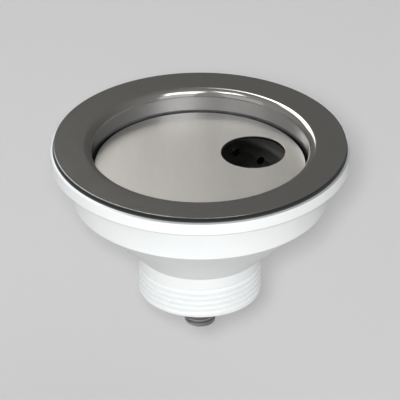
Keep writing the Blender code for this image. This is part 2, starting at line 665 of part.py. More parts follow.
def build_seal_washer(steel):
    """The washer that backs the seal from below."""
    section = ring_corners(PIN_HOLE_RADIUS, SEAL_WASHER_RADIUS, SEAL_WASHER_UNDERSIDE, SEAL_WASHER_TOP)
    return turned("seal_washer", rounded(section), SMALL_SIDES, steel)


def build_stem_nut(steel):
    """The nut on the pin that clamps washer, seal and basket to the knob."""
    nut = prism("stem_nut", regular(STEM_NUT_CORNER_RADIUS, 6), STEM_NUT_UNDERSIDE, STEM_NUT_TOP, steel)
    outline = cylinder_outline(PIN_HOLE_RADIUS, STEM_NUT_UNDERSIDE, STEM_NUT_TOP)
    combine(nut, turned("stem_nut_bore", outline, SMALL_SIDES), "DIFFERENCE")
    return nut


def build_stem_pin(steel):
    """The pin from inside the knob down through basket, seal and sleeve, with a groove for its clip."""
    groove_top = CLIP_TOP + SEAT_GAP
    groove_foot = CLIP_UNDERSIDE - SEAT_GAP
    corners = [
        (0, PIN_END, 0),
        (PIN_RADIUS, PIN_END, PIN_END_ROUND),
        (PIN_RADIUS, groove_foot, 0),
        (PIN_GROOVE_RADIUS, groove_foot, 0),
        (PIN_GROOVE_RADIUS, groove_top, 0),
        (PIN_RADIUS, groove_top, 0),
        (PIN_RADIUS, PIN_TOP, 0),
        (0, PIN_TOP, 0),
    ]
    return turned("stem_pin", rounded(corners), SMALL_SIDES, steel)


def build_pin_clip(steel):
    """The open spring clip in the pin's groove, which keeps the sleeve on."""
    outline = []
    for radius, way in ((CLIP_RADIUS, 1), (CLIP_BORE_RADIUS, -1)):
        for step in range(SMALL_SIDES + 1):
            turn = CLIP_MOUTH / 2 + (math.tau - CLIP_MOUTH) * step / SMALL_SIDES
            outline.append((radius * math.cos(way * turn), radius * math.sin(way * turn)))
    return prism("pin_clip", outline, CLIP_UNDERSIDE, CLIP_TOP, steel)


def build_spring_sleeve(plastic):
    """The slotted sleeve that grips the screw's bore and lets the pin turn in it."""
    corners = [
        (PIN_HOLE_RADIUS, SLEEVE_END, 0),
        (SLEEVE_RADIUS, SLEEVE_END, SLEEVE_TIP_ROUND),
        (SLEEVE_RADIUS, SLEEVE_COLLAR_UNDERSIDE, 0),
        (SLEEVE_COLLAR_RADIUS, SLEEVE_COLLAR_UNDERSIDE, 0),
        (SLEEVE_COLLAR_RADIUS, SLEEVE_TOP, 0),
        (PIN_HOLE_RADIUS, SLEEVE_TOP, 0),
    ]
    sleeve = turned("spring_sleeve", rounded(corners), SMALL_SIDES, plastic)
    long, half = SLEEVE_RADIUS + CUT_OVERRUN, SLEEVE_SLOT_WIDTH / 2
    outline = [
        (long, -half), (long, half), (half, half), (half, long), (-half, long), (-half, half),
        (-long, half), (-long, -half), (-half, -half), (-half, -long), (half, -long), (half, -half),
    ]
    slot_top = SLEEVE_END + SLEEVE_LENGTH * SLEEVE_SLOT_SHARE
    combine(sleeve, prism("sleeve_slots", outline, SLEEVE_END - CUT_OVERRUN, slot_top), "DIFFERENCE")
    return sleeve


def build_knob_washer(steel):
    """The washer between the knob and the basket's floor."""
    section = ring_corners(PIN_HOLE_RADIUS, KNOB_WASHER_RADIUS, KNOB_WASHER_UNDERSIDE, KNOB_WASHER_TOP)
    return turned("knob_washer", rounded(section), SMALL_SIDES, steel)


def build_lift_knob(steel):
    """The mushroom knob that lifts the strainer out."""
    neck_foot = KNOB_UNDERSIDE + KNOB_FOOT_HEIGHT
    neck_round = min(KNOB_NECK_ROUND, (KNOB_CAP_UNDERSIDE - neck_foot) / 2)
    socket_top = PIN_TOP + SEAT_GAP
    corners = [
        (PIN_HOLE_RADIUS, KNOB_UNDERSIDE, 0),
        (KNOB_FOOT_RADIUS, KNOB_UNDERSIDE, 0),
        (KNOB_FOOT_RADIUS, neck_foot, KNOB_FOOT_ROUND),
        (KNOB_NECK_RADIUS, neck_foot, neck_round),
        (KNOB_NECK_RADIUS, KNOB_CAP_UNDERSIDE, neck_round),
        (KNOB_RADIUS, KNOB_CAP_UNDERSIDE, KNOB_CAP_FOOT_ROUND),
        (KNOB_RADIUS, KNOB_TOP, KNOB_CAP_ROUND),
        (0, KNOB_TOP, 0),
        (0, socket_top, 0),
        (PIN_HOLE_RADIUS, socket_top, 0),
    ]
    return turned("lift_knob", rounded(corners), SMALL_SIDES, steel)


def build_cover_plate(steel):
    """The loose cover with its off-centre finger hole."""
    section = ring_corners(0, COVER_RADIUS, COVER_UNDERSIDE, COVER_TOP, COVER_EDGE_ROUND)
    cover = turned("cover_plate", rounded(section), RING_SIDES, steel)
    flare = FINGER_HOLE_EDGE + CUT_OVERRUN
    outline = [
        (0, COVER_UNDERSIDE - CUT_OVERRUN),
        (FINGER_HOLE_RADIUS + flare, COVER_UNDERSIDE - CUT_OVERRUN),
        (FINGER_HOLE_RADIUS, COVER_UNDERSIDE + FINGER_HOLE_EDGE),
        (FINGER_HOLE_RADIUS, COVER_TOP - FINGER_HOLE_EDGE),
        (FINGER_HOLE_RADIUS + flare, COVER_TOP + CUT_OVERRUN),
        (0, COVER_TOP + CUT_OVERRUN),
    ]
    cutter = turned("finger_hole", outline, RING_SIDES)
    cutter.location.x = FINGER_HOLE_REACH * math.cos(FINGER_HOLE_TURN)
    cutter.location.y = FINGER_HOLE_REACH * math.sin(FINGER_HOLE_TURN)
    combine(cover, cutter, "DIFFERENCE")
    return cover


def add_group(name, pieces, parent):
    """An empty on the drain's axis that carries a group of pieces."""
    group = bpy.data.objects.new(name, None)
    group.empty_display_size = OUTLET_RADIUS
    group.parent = parent
    bpy.context.scene.collection.objects.link(group)
    for piece in pieces:
        piece.parent = group
    return group


def main():
    """Clears the scene and builds every piece, each moving group under its own empty."""
    for obj in list(bpy.data.objects):
        bpy.data.objects.remove(obj)
    polished_steel = finish("polished_steel", (0.12, 0.12, 0.11), 0.22, 1.0)
    brushed_steel = finish("brushed_steel", (0.46, 0.44, 0.41), 0.42, 1.0)
    basket_steel = finish("basket_steel", (0.42, 0.42, 0.41), 0.3, 1.0)
    screw_steel = finish("screw_steel", (0.3, 0.3, 0.3), 0.38, 1.0)
    white_plastic = finish("white_plastic", (0.87, 0.88, 0.87), 0.4, 0.0)
    grey_plastic = finish("grey_plastic", (0.25, 0.26, 0.27), 0.5, 0.0)
    black_rubber = finish("black_rubber", (0.02, 0.022, 0.022), 0.7, 0.0)
    grey_rubber = finish("grey_rubber", (0.3, 0.3, 0.3), 0.7, 0.0)
    brass = finish("brass", (0.6, 0.42, 0.16), 0.3, 1.0)

    fixed = [
        build_flange_cup(polished_steel),
        build_flange_gasket(black_rubber),
        build_rim_gasket(grey_rubber),
        build_waste_body(white_plastic),
        build_screw_nut(brass),
        build_clamp_screw(screw_steel),
        build_screw_washer(screw_steel),
    ]
    sleeve = [build_spring_sleeve(grey_plastic)]
    strainer = [
        build_basket(basket_steel),
        build_basket_seal(black_rubber),
        build_seal_washer(screw_steel),
        build_stem_nut(screw_steel),
        build_stem_pin(screw_steel),
        build_pin_clip(screw_steel),
        build_knob_washer(basket_steel),
        build_lift_knob(basket_steel),
    ]
    cover = [build_cover_plate(brushed_steel)]

    drain = add_group("drain", fixed, None)
    stem = add_group("stem", sleeve, drain)
    add_group("strainer", strainer, stem)
    add_group("cover", cover, stem)


if __name__ == "__main__":
    main()
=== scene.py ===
"""The looks of a basket strainer waste for a kitchen sink: finer meshes, finishes and a plain studio.

Metres, +Z up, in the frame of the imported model. Each solid is replaced by a finer mesh of the same size,
which rides on the same body. Radii and levels come from the solids' boxes where a box gives them.
"""

import logging
import math
from dataclasses import dataclass, field
from enum import Enum
from typing import Any, Sequence

import bmesh
import bpy
from mathutils import Matrix, Vector

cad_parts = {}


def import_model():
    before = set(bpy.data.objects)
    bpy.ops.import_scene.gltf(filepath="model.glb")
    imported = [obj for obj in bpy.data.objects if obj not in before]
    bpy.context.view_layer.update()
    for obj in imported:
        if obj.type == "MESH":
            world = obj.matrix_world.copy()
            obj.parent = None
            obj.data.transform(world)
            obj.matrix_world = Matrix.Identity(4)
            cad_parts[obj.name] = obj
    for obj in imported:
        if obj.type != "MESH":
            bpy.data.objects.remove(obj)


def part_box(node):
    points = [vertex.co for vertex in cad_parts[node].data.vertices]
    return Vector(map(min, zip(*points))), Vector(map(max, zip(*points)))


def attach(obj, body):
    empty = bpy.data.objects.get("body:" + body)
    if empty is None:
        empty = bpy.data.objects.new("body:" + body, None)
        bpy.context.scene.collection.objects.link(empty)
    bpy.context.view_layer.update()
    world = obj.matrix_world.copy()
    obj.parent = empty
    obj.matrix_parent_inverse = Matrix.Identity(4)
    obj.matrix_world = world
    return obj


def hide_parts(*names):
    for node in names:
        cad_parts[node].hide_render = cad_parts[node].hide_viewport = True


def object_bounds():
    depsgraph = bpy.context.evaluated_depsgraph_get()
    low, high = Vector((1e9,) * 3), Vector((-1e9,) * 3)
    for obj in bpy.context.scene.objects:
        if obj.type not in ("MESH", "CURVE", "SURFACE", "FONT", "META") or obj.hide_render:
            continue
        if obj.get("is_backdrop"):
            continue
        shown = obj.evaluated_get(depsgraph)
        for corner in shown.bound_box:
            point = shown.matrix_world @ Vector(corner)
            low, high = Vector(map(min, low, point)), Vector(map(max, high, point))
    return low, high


log = logging.getLogger("sink_drain")

MM = 0.001

# How far the studio's soft lamps hang from the drain, in metres.
FAR = 3.2
NEAR = 0.75

# Facets, rounds and joins of the fine meshes.
WIDE_SIDES = 192
NARROW_SIDES = 96
HOLE_SIDES = 24
CORNER_STEPS = 8
CORNER_FACET = 0.12 * MM
WELD = 0.0004 * MM
SLIVER = 0.002 * MM
SHARP_ANGLE = math.radians(34)
SOFT_EDGE_STEPS = 3
FACE_AREA_WEIGHT = 100
CUT_OVERRUN = 1.0 * MM
HEXAGON = 6

# Clearances that the solids keep.
SEAT_GAP = 0.3 * MM
SIDE_GAP = 0.3 * MM

# The materials' noises, and the ranges that their patterns are mapped from and to.
NONE_TO_ALL = (0.0, 1.0)
ALL_TO_NONE = (1.0, 0.0)
NOISE_ROUGHNESS = 0.55
CLOUD_DETAIL = 4.0
CLOUD_SPAN = (0.35, 0.7)
TWO_NOISES_SPAN = (0.7, 1.3)

# What a point is multiplied by to give the level way from the drain's axis to it, and back.
FROM_AXIS = (1, 1, 0)
TO_AXIS = (-1, -1, 0)

Point = tuple[float, float]
Corner = tuple[float, float, float]
Colour = tuple[float, float, float]
Object = bpy.types.Object
Socket = bpy.types.NodeSocket


class Body(Enum):
    """The bodies that pieces ride on."""

    DRAIN = "drain"
    STEM = "stem"
    STRAINER = "strainer"
    COVER = "cover"


class Slot(Enum):
    """The record's material slots."""

    POLISHED_STEEL = "polished_steel"
    BRUSHED_STEEL = "brushed_steel"
    BASKET_STEEL = "basket_steel"
    SCREW_STEEL = "screw_steel"
    WHITE_PLASTIC = "white_plastic"
    GREY_PLASTIC = "grey_plastic"
    BLACK_RUBBER = "black_rubber"
    GREY_RUBBER = "grey_rubber"
    BRASS = "brass"


class Lay(Enum):
    """The way that a metal's finishing marks run."""

    TURNED = "round the axis"
    BRUSHED = "straight, from front to back"


class Facing(Enum):
    """Which faces of a piece a zone takes."""

    UP = "level faces that look up"
    ASIDE = "upright faces"
    INWARD = "upright faces that look at the axis"


class Operation(Enum):
    """What a Boolean does with its cutter."""

    CUT = "DIFFERENCE"
    JOIN = "UNION"
    KEEP = "INTERSECT"


def polar(radius: float, angle: float) -> Point:
    """Gives the point at a radius and an angle."""
    return radius * math.cos(angle), radius * math.sin(angle)


def polygon(radius: float, sides: int) -> list[Point]:
    """Lists the points of a regular polygon with its corners at a radius."""
    return [polar(radius, math.tau * i / sides) for i in range(sides)]


def corner_radius(across_flats: float) -> float:
    """Gives the radius to the corners of a hexagon."""
    return across_flats / math.sqrt(3)


def rounded(corners: Sequence[Corner]) -> list[Point]:
    """Draws each corner of a closed outline as an arc.

    Args:
        corners: The (x, y, rounding) of each corner.

    Returns:
        The outline's points, in the corners' order.
    """
    outline = []
    count = len(corners)
    for i, (x, y, radius) in enumerate(corners):
        if radius <= 0:
            outline.append((x, y))
            continue
        before, after = corners[i - 1], corners[(i + 1) % count]
        first = math.atan2(before[1] - y, before[0] - x)
        turn = (math.atan2(after[1] - y, after[0] - x) - first) % math.tau
        half = turn / 2 if turn < math.pi else turn / 2 - math.pi
        middle = first + half
        out, up = polar(radius / abs(math.sin(half)), middle)
        sweep = math.copysign(math.pi - 2 * abs(half), -half)
        start = middle + math.pi - sweep / 2
        steps = max(2, min(CORNER_STEPS, math.ceil(radius * abs(sweep) / CORNER_FACET)))
        for step in range(steps + 1):
            aside, along = polar(radius, start + sweep * step / steps)
            outline.append((x + out + aside, y + up + along))
    return outline


def pressed(corners: Sequence[Corner], thickness: float, edge_round: float) -> list[Corner]:
    """Gives a sheet's upper face its thickness.

    Args:
        corners: The open line of the upper face, from the rim towards the axis.
        thickness: The sheet's thickness, which lies below and outside that line.
        edge_round: The rounding of the rim's edges.

    Returns:
        The closed outline's corners.
    """
    lower = []
    last = len(corners) - 1
    for i, (x, y, radius) in enumerate(corners):
        ways = []
        if i > 0:
            ways.append((x - corners[i - 1][0], y - corners[i - 1][1]))
        if i < last:
            ways.append((corners[i + 1][0] - x, corners[i + 1][1] - y))
        normals = [(-dy / math.hypot(dx, dy), dx / math.hypot(dx, dy)) for dx, dy in ways]
        sum_x = sum(normal[0] for normal in normals)
        sum_y = sum(normal[1] for normal in normals)
        scale = thickness * len(normals) / (sum_x ** 2 + sum_y ** 2)
        turn = ways[0][0] * ways[-1][1] - ways[0][1] * ways[-1][0]
        other = radius + math.copysign(thickness, -turn) if radius > 0 else 0.0
        lower.append((x + sum_x * scale, y + sum_y * scale, max(other, 0.0)))
    lower[0] = (*lower[0][:2], edge_round)
    return [(*corners[0][:2], edge_round), *corners[1:], *reversed(lower)]


def solid_size(node: str) -> tuple[float, float, float]:
    """Reads a round solid's radius, foot and top from the frame."""
    low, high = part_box(node)
    return high.x, low.z, high.z


@dataclass(frozen=True)
class Thread:
    """An outside thread with soft crests and roots, which runs out at its top and ends on a plain ring."""

    radius: float
    root_radius: float
    pitch: float
    low: float
    high: float
    end_radius: float
    end_height: float
    rows: int = 12
    crest_share: float = 0.17
    root_share: float = 0.17
    run_in: float = 0.35 * MM
    chamfer: float = 0.2 * MM
    turns_below: int = 2

    @property
    def foot_radius(self) -> float:
        """The radius of the thread's lower end, inside its chamfer."""
        return self.end_radius - self.chamfer

    def form(self, share: float) -> float:
        """Shapes one pitch of the thread.

        Args:
            share: How far up the pitch, from 0 on one crest to 1 on the next.

        Returns:
            The radius there.
        """
        rise = abs(2 * (share % 1) - 1)
        rise = min(max((rise - self.root_share) / (1 - self.root_share - self.crest_share), 0), 1)
        rise = rise * rise * (3 - 2 * rise)
        return self.root_radius + (self.radius - self.root_radius) * rise

    def column(self, turn_share: float) -> list[Point]:
        """Follows the thread up one side.

        Args:
            turn_share: Where the side is, as a share of a turn.

        Returns:
            The (radius, height) points, from the foot up.
        """
        points = []
        for turn in range(-self.turns_below, math.ceil((self.high - self.low) / self.pitch) + 1):
            for row in range(self.rows):
                share = row / self.rows
                height = self.low + self.pitch * (turn + share + turn_share)
                fade = min(max((self.high - height) / self.pitch, 0), 1)
                radius = self.radius - (self.radius - self.form(share)) * fade
                plain = min(max((self.low + self.end_height - height) / self.run_in + 1, 0), 1)
                radius += max(self.end_radius - radius, 0) * plain
                radius = min(radius, self.foot_radius + max(height - self.low, 0))
                points.append((radius, min(max(height, self.low), self.high)))
        return points

    def add_faces(self, bm: bmesh.types.BMesh, sides: int) -> None:
        """Adds the thread's faces, column by column.

        Args:
            bm: The mesh that takes them.
            sides: The number of columns in a turn.
        """
        columns = []
        for i in range(sides + 1):
            angle = math.tau * i / sides
            column = self.column(i / sides)
            columns.append([bm.verts.new((*polar(radius, angle), height)) for radius, height in column])
        for first, second in zip(columns, columns[1:]):
            for a, b, c, d in zip(first, second, second[1:], first[1:]):
                bm.faces.new((a, b, c, d))


def add_object(name: str, bm: bmesh.types.BMesh) -> Object:
    """Makes an object of a mesh, with its faces pointing out and only its sharp edges sharp.

    Args:
        name: The object's name.
        bm: The mesh, which is freed.

    Returns:
        The object.
    """
    bmesh.ops.remove_doubles(bm, verts=bm.verts, dist=WELD)
    bmesh.ops.recalc_face_normals(bm, faces=bm.faces)
    mesh = bpy.data.meshes.new(name)
    bm.to_mesh(mesh)
    bm.free()
    mesh.shade_smooth()
    mesh.set_sharp_from_angle(angle=SHARP_ANGLE)
    obj = bpy.data.objects.new(name, mesh)
    bpy.context.scene.collection.objects.link(obj)
    return obj


def turned(name: str, outline: Sequence[Point], sides: int, thread: Thread | None = None) -> Object:
    """Spins a closed outline round the drain's axis.

    Args:
        name: The object's name.
        outline: The (radius, height) points.
        sides: The facets in a turn.
        thread: What takes the place of the outline's closing edge.

    Returns:
        The object.
    """
    bm = bmesh.new()
    points = [bm.verts.new((radius, 0.0, height)) for radius, height in outline]
    ahead = points[1:] if thread else points[1:] + points[:1]
    edges = [bm.edges.new((a, b)) for a, b in zip(points, ahead) if a.co.x > WELD or b.co.x > WELD]
    bmesh.ops.spin(bm, geom=points + edges, cent=(0, 0, 0), axis=(0, 0, 1), angle=math.tau, steps=sides)
    if thread:
        thread.add_faces(bm, sides)
    return add_object(name, bm)


def add_prism(
    bm: bmesh.types.BMesh, outline: Sequence[Point], low: float, high: float, place: Matrix = Matrix()
) -> None:
    """Extrudes a closed outline and puts it in place.

    Args:
        bm: The mesh that takes it.
        outline: The (x, y) points.
        low: The underside, before it is put in place.
        high: The upper face, before it is put in place.
        place: Where it goes.
    """
    face = bm.faces.new([bm.verts.new(place @ Vector((x, y, low))) for x, y in outline])
    grown = bmesh.ops.extrude_face_region(bm, geom=[face])["geom"]
    risen = [v for v in grown if isinstance(v, bmesh.types.BMVert)]
    bmesh.ops.translate(bm, verts=risen, vec=place.to_3x3() @ Vector((0, 0, high - low)))


def prism(name: str, outline: Sequence[Point], low: float, high: float) -> Object:
    """Makes one extruded outline as an object.

    Args:
        name: The object's name.
        outline: The (x, y) points.
        low: The underside.
        high: The upper face.

    Returns:
        The object.
    """
    bm = bmesh.new()
    add_prism(bm, outline, low, high)
    return add_object(name, bm)


def settle_modifiers(obj: Object) -> None:
    """Turns what an object's modifiers make into its own mesh, without slivers.

    Args:
        obj: The object.
    """
    evaluated = obj.evaluated_get(bpy.context.evaluated_depsgraph_get())
    mesh = bpy.data.meshes.new_from_object(evaluated)
    bm = bmesh.new()
    bm.from_mesh(mesh)
    bmesh.ops.dissolve_degenerate(bm, dist=SLIVER, edges=bm.edges)
    bm.to_mesh(mesh)
    bm.free()
    obj.modifiers.clear()
    obj.data = mesh
    mesh.shade_smooth()
    mesh.set_sharp_from_angle(angle=SHARP_ANGLE)


def combine(obj: Object, other: Object, operation: Operation) -> None:
    """Cuts, joins or keeps by another object, which is used up.

    Args:
        obj: The object that changes.
        other: The cutter.
        operation: What is done with it.
    """
    modifier = obj.modifiers.new(other.name, "BOOLEAN")
    modifier.operation = operation.value
    modifier.object = other
    bpy.context.view_layer.update()
    settle_modifiers(obj)
    bpy.data.objects.remove(other)


def soften(obj: Object, width: float) -> None:
    """Bevels an object's sharp edges.

    Args:
        obj: The object.
        width: The bevel's width.
    """
    modifier = obj.modifiers.new("softened_edges", "BEVEL")
    modifier.width = width
    modifier.segments = SOFT_EDGE_STEPS
    modifier.limit_method = "ANGLE"
    modifier.angle_limit = SHARP_ANGLE
    modifier.use_clamp_overlap = True
    settle_modifiers(obj)


def level_shading(obj: Object) -> None:
    """Makes an object's large flat faces shade flat up to their rounded edges.

    Args:
        obj: The object.
    """
    modifier = obj.modifiers.new("level_shading", "WEIGHTED_NORMAL")
    modifier.weight = FACE_AREA_WEIGHT
    modifier.keep_sharp = True


def drill(obj: Object, radius: float, low: float, high: float) -> None:
    """Cuts a round hole along the drain's axis.

    Args:
        obj: The object that is drilled.
        radius: The hole's radius.
        low: Where it begins.
        high: Where it ends.
    """
    foot, head = low - CUT_OVERRUN, high + CUT_OVERRUN
    bore = [(0, foot), (radius, foot), (radius, head), (0, head)]
    combine(obj, turned("drill", bore, NARROW_SIDES), Operation.CUT)


def spun_ring(name: str, node: str, inner: float, edge_round: float, sides: int) -> Object:
    """Spins a plain ring, or a disc, of a solid's radius and levels.

    Args:
        name: The object's name.
        node: The solid.
        inner: The bore's radius, which is 0 for a disc.
        edge_round: The rounding of every edge.
        sides: The facets in a turn.

    Returns:
        The ring.
    """
    outer, low, high = solid_size(node)
    bore_round = edge_round if inner > 0 else 0.0
    corners = [
        (inner, low, bore_round),
        (outer, low, edge_round),
        (outer, high, edge_round),
        (inner, high, bore_round),
    ]
    return turned(name, rounded(corners), sides)


def hexagon_nut(
    name: str, node: str, across_flats: float, bore: float, edge: float, chamfer: float = 0.0
) -> Object:
    """Makes a hexagon nut of a solid's height.

    Args:
        name: The object's name.
        node: The solid.
        across_flats: The nut's width.
        bore: The radius of its hole.
        edge: The bevel of its edges.
        chamfer: How much is turned off its lower corners.

    Returns:
        The nut.
    """
    low, high = solid_size(node)[1:]
    corner = corner_radius(across_flats)
    nut = prism(name, polygon(corner, HEXAGON), low, high)
    if chamfer:
        wide, head = corner + CUT_OVERRUN, high + CUT_OVERRUN
        cone_head = (wide, low + chamfer + CUT_OVERRUN)
        blank = [(0, low), (corner - chamfer, low), cone_head, (wide, head), (0, head)]
        combine(nut, turned("nut_blank", blank, NARROW_SIDES), Operation.KEEP)
    drill(nut, bore, low, high)
    soften(nut, edge)
    return nut


class MaterialGraph:
    """A material's nodes, with short calls that add and join them."""

    def __init__(self, name: str) -> None:
        """Starts a material with its shader.

        Args:
            name: The material's name.
        """
        self.material = bpy.data.materials.new(name)
        self.material.use_nodes = True
        self.tree = self.material.node_tree
        self.shader = self.tree.nodes["Principled BSDF"]

    def feed(self, socket: Socket, value: Any) -> None:
        """Links a socket to another, or sets its value.

        Args:
            socket: The input.
            value: The output that it is linked to, or its plain value.
        """
        if isinstance(value, bpy.types.NodeSocket):
            self.tree.links.new(value, socket)
        else:
            socket.default_value = value

    def add(self, kind: str, inputs: dict[Any, Any], **settings: Any) -> bpy.types.Node:
        """Adds a node.

        Args:
            kind: The node's type.
            inputs: What each input takes, by its name or number.
            settings: The node's own properties.

        Returns:
            The node.
        """
        node = self.tree.nodes.new(kind)
        for name, value in settings.items():
            setattr(node, name, value)
        for key, value in inputs.items():
            self.feed(node.inputs[key], value)
        return node

    def place(self) -> Socket:
        """Gives the point on the object, in metres."""
        return self.add("ShaderNodeTexCoord", {}).outputs["Object"]

    def stretched(self, vector: Socket, scale: Sequence[float], turn: float = 0.0) -> Socket:
        """Scales a point's coordinates, after turning it round Z.

        Args:
            vector: The point.
            scale: The factor along each axis.
            turn: The angle round Z.

        Returns:
            The scaled point.
        """
        if turn:
            inputs = {"Vector": vector, "Angle": turn}
            vector = self.add("ShaderNodeVectorRotate", inputs, rotation_type="Z_AXIS").outputs["Vector"]
        return self.vector_math("MULTIPLY", vector, tuple(scale))

    def round_the_axis(self, along: float, across: float) -> Socket:
        """Stretches a pattern into rings round the drain's axis, without a seam.

        Args:
            along: How often the pattern changes in a turn.
            across: How often it changes in a metre of radius or height.

        Returns:
            The coordinates for the pattern.
        """
        direction = self.vector_math("NORMALIZE", self.stretched(self.place(), FROM_AXIS))
        height = self.add("ShaderNodeSeparateXYZ", {0: self.place()}).outputs["Z"]
        depth = self.math("ADD", self.radius(), height)
        lifted = self.add("ShaderNodeCombineXYZ", {"Z": self.math("MULTIPLY", depth, across)}).outputs[0]
        return self.vector_math("ADD", self.stretched(direction, (along, along, 0)), lifted)

    def radius(self) -> Socket:
        """Gives the distance from the drain's axis."""
        return self.vector_math("LENGTH", self.stretched(self.place(), FROM_AXIS), result="Value")

    def upward(self) -> Socket:
        """Gives how far a face looks up: 1 for a level face and 0 for an upright one."""
        normal = self.add("ShaderNodeNewGeometry", {}).outputs["True Normal"]
        return self.add("ShaderNodeSeparateXYZ", {0: normal}).outputs["Z"]

    def inward(self) -> Socket:
        """Tells how far a face looks at the drain's axis.

        Returns:
            1 where it looks straight at the axis and -1 where it looks straight away.
        """
        world_normal = self.add("ShaderNodeNewGeometry", {}).outputs["True Normal"]
        spaces = {"vector_type": "NORMAL", "convert_from": "WORLD", "convert_to": "OBJECT"}
        normal = self.add("ShaderNodeVectorTransform", {0: world_normal}, **spaces).outputs["Vector"]
        way = self.vector_math("NORMALIZE", self.stretched(self.place(), TO_AXIS))
        return self.vector_math("DOT_PRODUCT", way, normal, result="Value")

    def math(self, operation: str, *values: Any) -> Socket:
        """Does one sum with plain values."""
        return self.add("ShaderNodeMath", dict(enumerate(values)), operation=operation).outputs[0]

    def vector_math(self, operation: str, *vectors: Any, result: str = "Vector") -> Socket:
        """Does one sum with vectors."""
        node = self.add("ShaderNodeVectorMath", dict(enumerate(vectors)), operation=operation)
        return node.outputs[result]

    def noise(self, vector: Socket, scale: float, detail: float) -> Socket:
        """Adds a noise with so many lumps in a unit, and so many finer layers in each."""
        inputs = {"Vector": vector, "Scale": scale, "Detail": detail, "Roughness": NOISE_ROUGHNESS}
        return self.add("ShaderNodeTexNoise", inputs).outputs["Fac"]

    def between(self, value: Socket, span: Point, result: Point) -> Socket:
        """Maps a range of values to another, smoothly, and holds it at its ends."""
        inputs = dict(enumerate((value, *span, *result)))
        return self.add("ShaderNodeMapRange", inputs, interpolation_type="SMOOTHSTEP").outputs[0]

    def mixed(self, share: Socket, first: Colour | Socket, second: Colour | Socket) -> Socket:
        """Mixes two colours.

        Args:
            share: The second colour's share.
            first: The first colour.
            second: The second colour.

        Returns:
            The mixed colour.
        """
        node = self.add("ShaderNodeMix", {"Factor": share}, data_type="RGBA")
        colours = [socket for socket in node.inputs if socket.type == "RGBA"]
        for socket, colour in zip(colours, (first, second)):
            self.feed(socket, colour if isinstance(colour, bpy.types.NodeSocket) else (*colour, 1.0))
        return next(socket for socket in node.outputs if socket.type == "RGBA")

    def bump(self, height: Socket, depth: float, below: Socket | None = None) -> Socket:
        """Raises the surface by a pattern.

        Args:
            height: The pattern, from 0 to 1.
            depth: How deep it is, in metres.
            below: A bump that this one lies on.

        Returns:
            The bent normal.
        """
        inputs = {"Height": height, "Distance": depth, "Strength": 1.0}
        if below:
            inputs["Normal"] = below
        return self.add("ShaderNodeBump", inputs).outputs["Normal"]


@dataclass(frozen=True)
class Zone:
    """A part of a piece that looks different, by its finish or by painted shade or light: faces that look
    one way, between two radii.
    """

    facing: Facing
    radii: Point
    facing_span: Point
    colour: Colour | None = None
    roughness_added: float = 0.0
    towards: Corner = (0.0, 0.0, 0.0)
    towards_span: Point | None = None

    def mask(self, graph: MaterialGraph) -> Socket:
        """Finds the zone on the surface.

        Args:
            graph: The material's nodes.

        Returns:
            1 in the zone and 0 elsewhere.
        """
        if self.facing is Facing.ASIDE:
            faces = graph.between(graph.math("ABSOLUTE", graph.upward()), self.facing_span, ALL_TO_NONE)
        else:
            look = graph.inward() if self.facing is Facing.INWARD else graph.upward()
            faces = graph.between(look, self.facing_span, NONE_TO_ALL)
        radius = graph.radius()
        outside = graph.math("GREATER_THAN", radius, self.radii[0])
        inside = graph.math("LESS_THAN", radius, self.radii[1])
        mask = graph.math("MULTIPLY", faces, graph.math("MULTIPLY", outside, inside))
        if self.towards_span:
            side = graph.vector_math("DOT_PRODUCT", graph.place(), self.towards, result="Value")
            mask = graph.math("MULTIPLY", mask, graph.between(side, self.towards_span, NONE_TO_ALL))
        return mask


@dataclass(frozen=True, kw_only=True)
class Finish:
    """A finish: its colour clouds over, its roughness wanders, and zones of it differ."""

    slot: Slot
    colour: Colour
    clouded_colour: Colour
    roughness: float
    roughness_spread: float
    zones: tuple[Zone, ...] = ()

    def constants(self) -> dict[str, float]:
        """Gives the shader's values that are the same all over."""
        raise NotImplementedError

    def patterns(self, graph: MaterialGraph) -> tuple[Socket, Socket]:
        """Makes the fine pattern and the clouds."""
        raise NotImplementedError

    def scratches(self, graph: MaterialGraph) -> Socket | None:
        """Makes the roughness that scratches add, where the finish has them."""
        return None

    def relief(self, graph: MaterialGraph, fine: Socket, clouds: Socket) -> Socket:
        """Makes the bent normal."""
        raise NotImplementedError

    def material(self) -> bpy.types.Material:
        """Makes the material.

        Returns:
            The material, with its colour, roughness and bump from its nodes.
        """
        graph = MaterialGraph(self.slot.value)
        for name, value in self.constants().items():
            graph.shader.inputs[name].default_value = value
        fine, clouds = self.patterns(graph)
        clouded = graph.between(clouds, CLOUD_SPAN, NONE_TO_ALL)
        colour = graph.mixed(clouded, self.colour, self.clouded_colour)
        spread = (self.roughness - self.roughness_spread, self.roughness + self.roughness_spread)
        rough = graph.between(graph.math("ADD", fine, clouds), TWO_NOISES_SPAN, spread)
        scratches = self.scratches(graph)
        if scratches:
            rough = graph.math("ADD", rough, scratches)
        for zone in self.zones:
            mask = zone.mask(graph)
            if zone.colour:
                colour = graph.mixed(mask, colour, zone.colour)
            if zone.roughness_added:
                rough = graph.math("ADD", rough, graph.math("MULTIPLY", mask, zone.roughness_added))
        results = {"Base Color": colour, "Roughness": rough, "Normal": self.relief(graph, fine, clouds)}
        for name, result in results.items():
            graph.feed(graph.shader.inputs[name], result)
        return graph.material


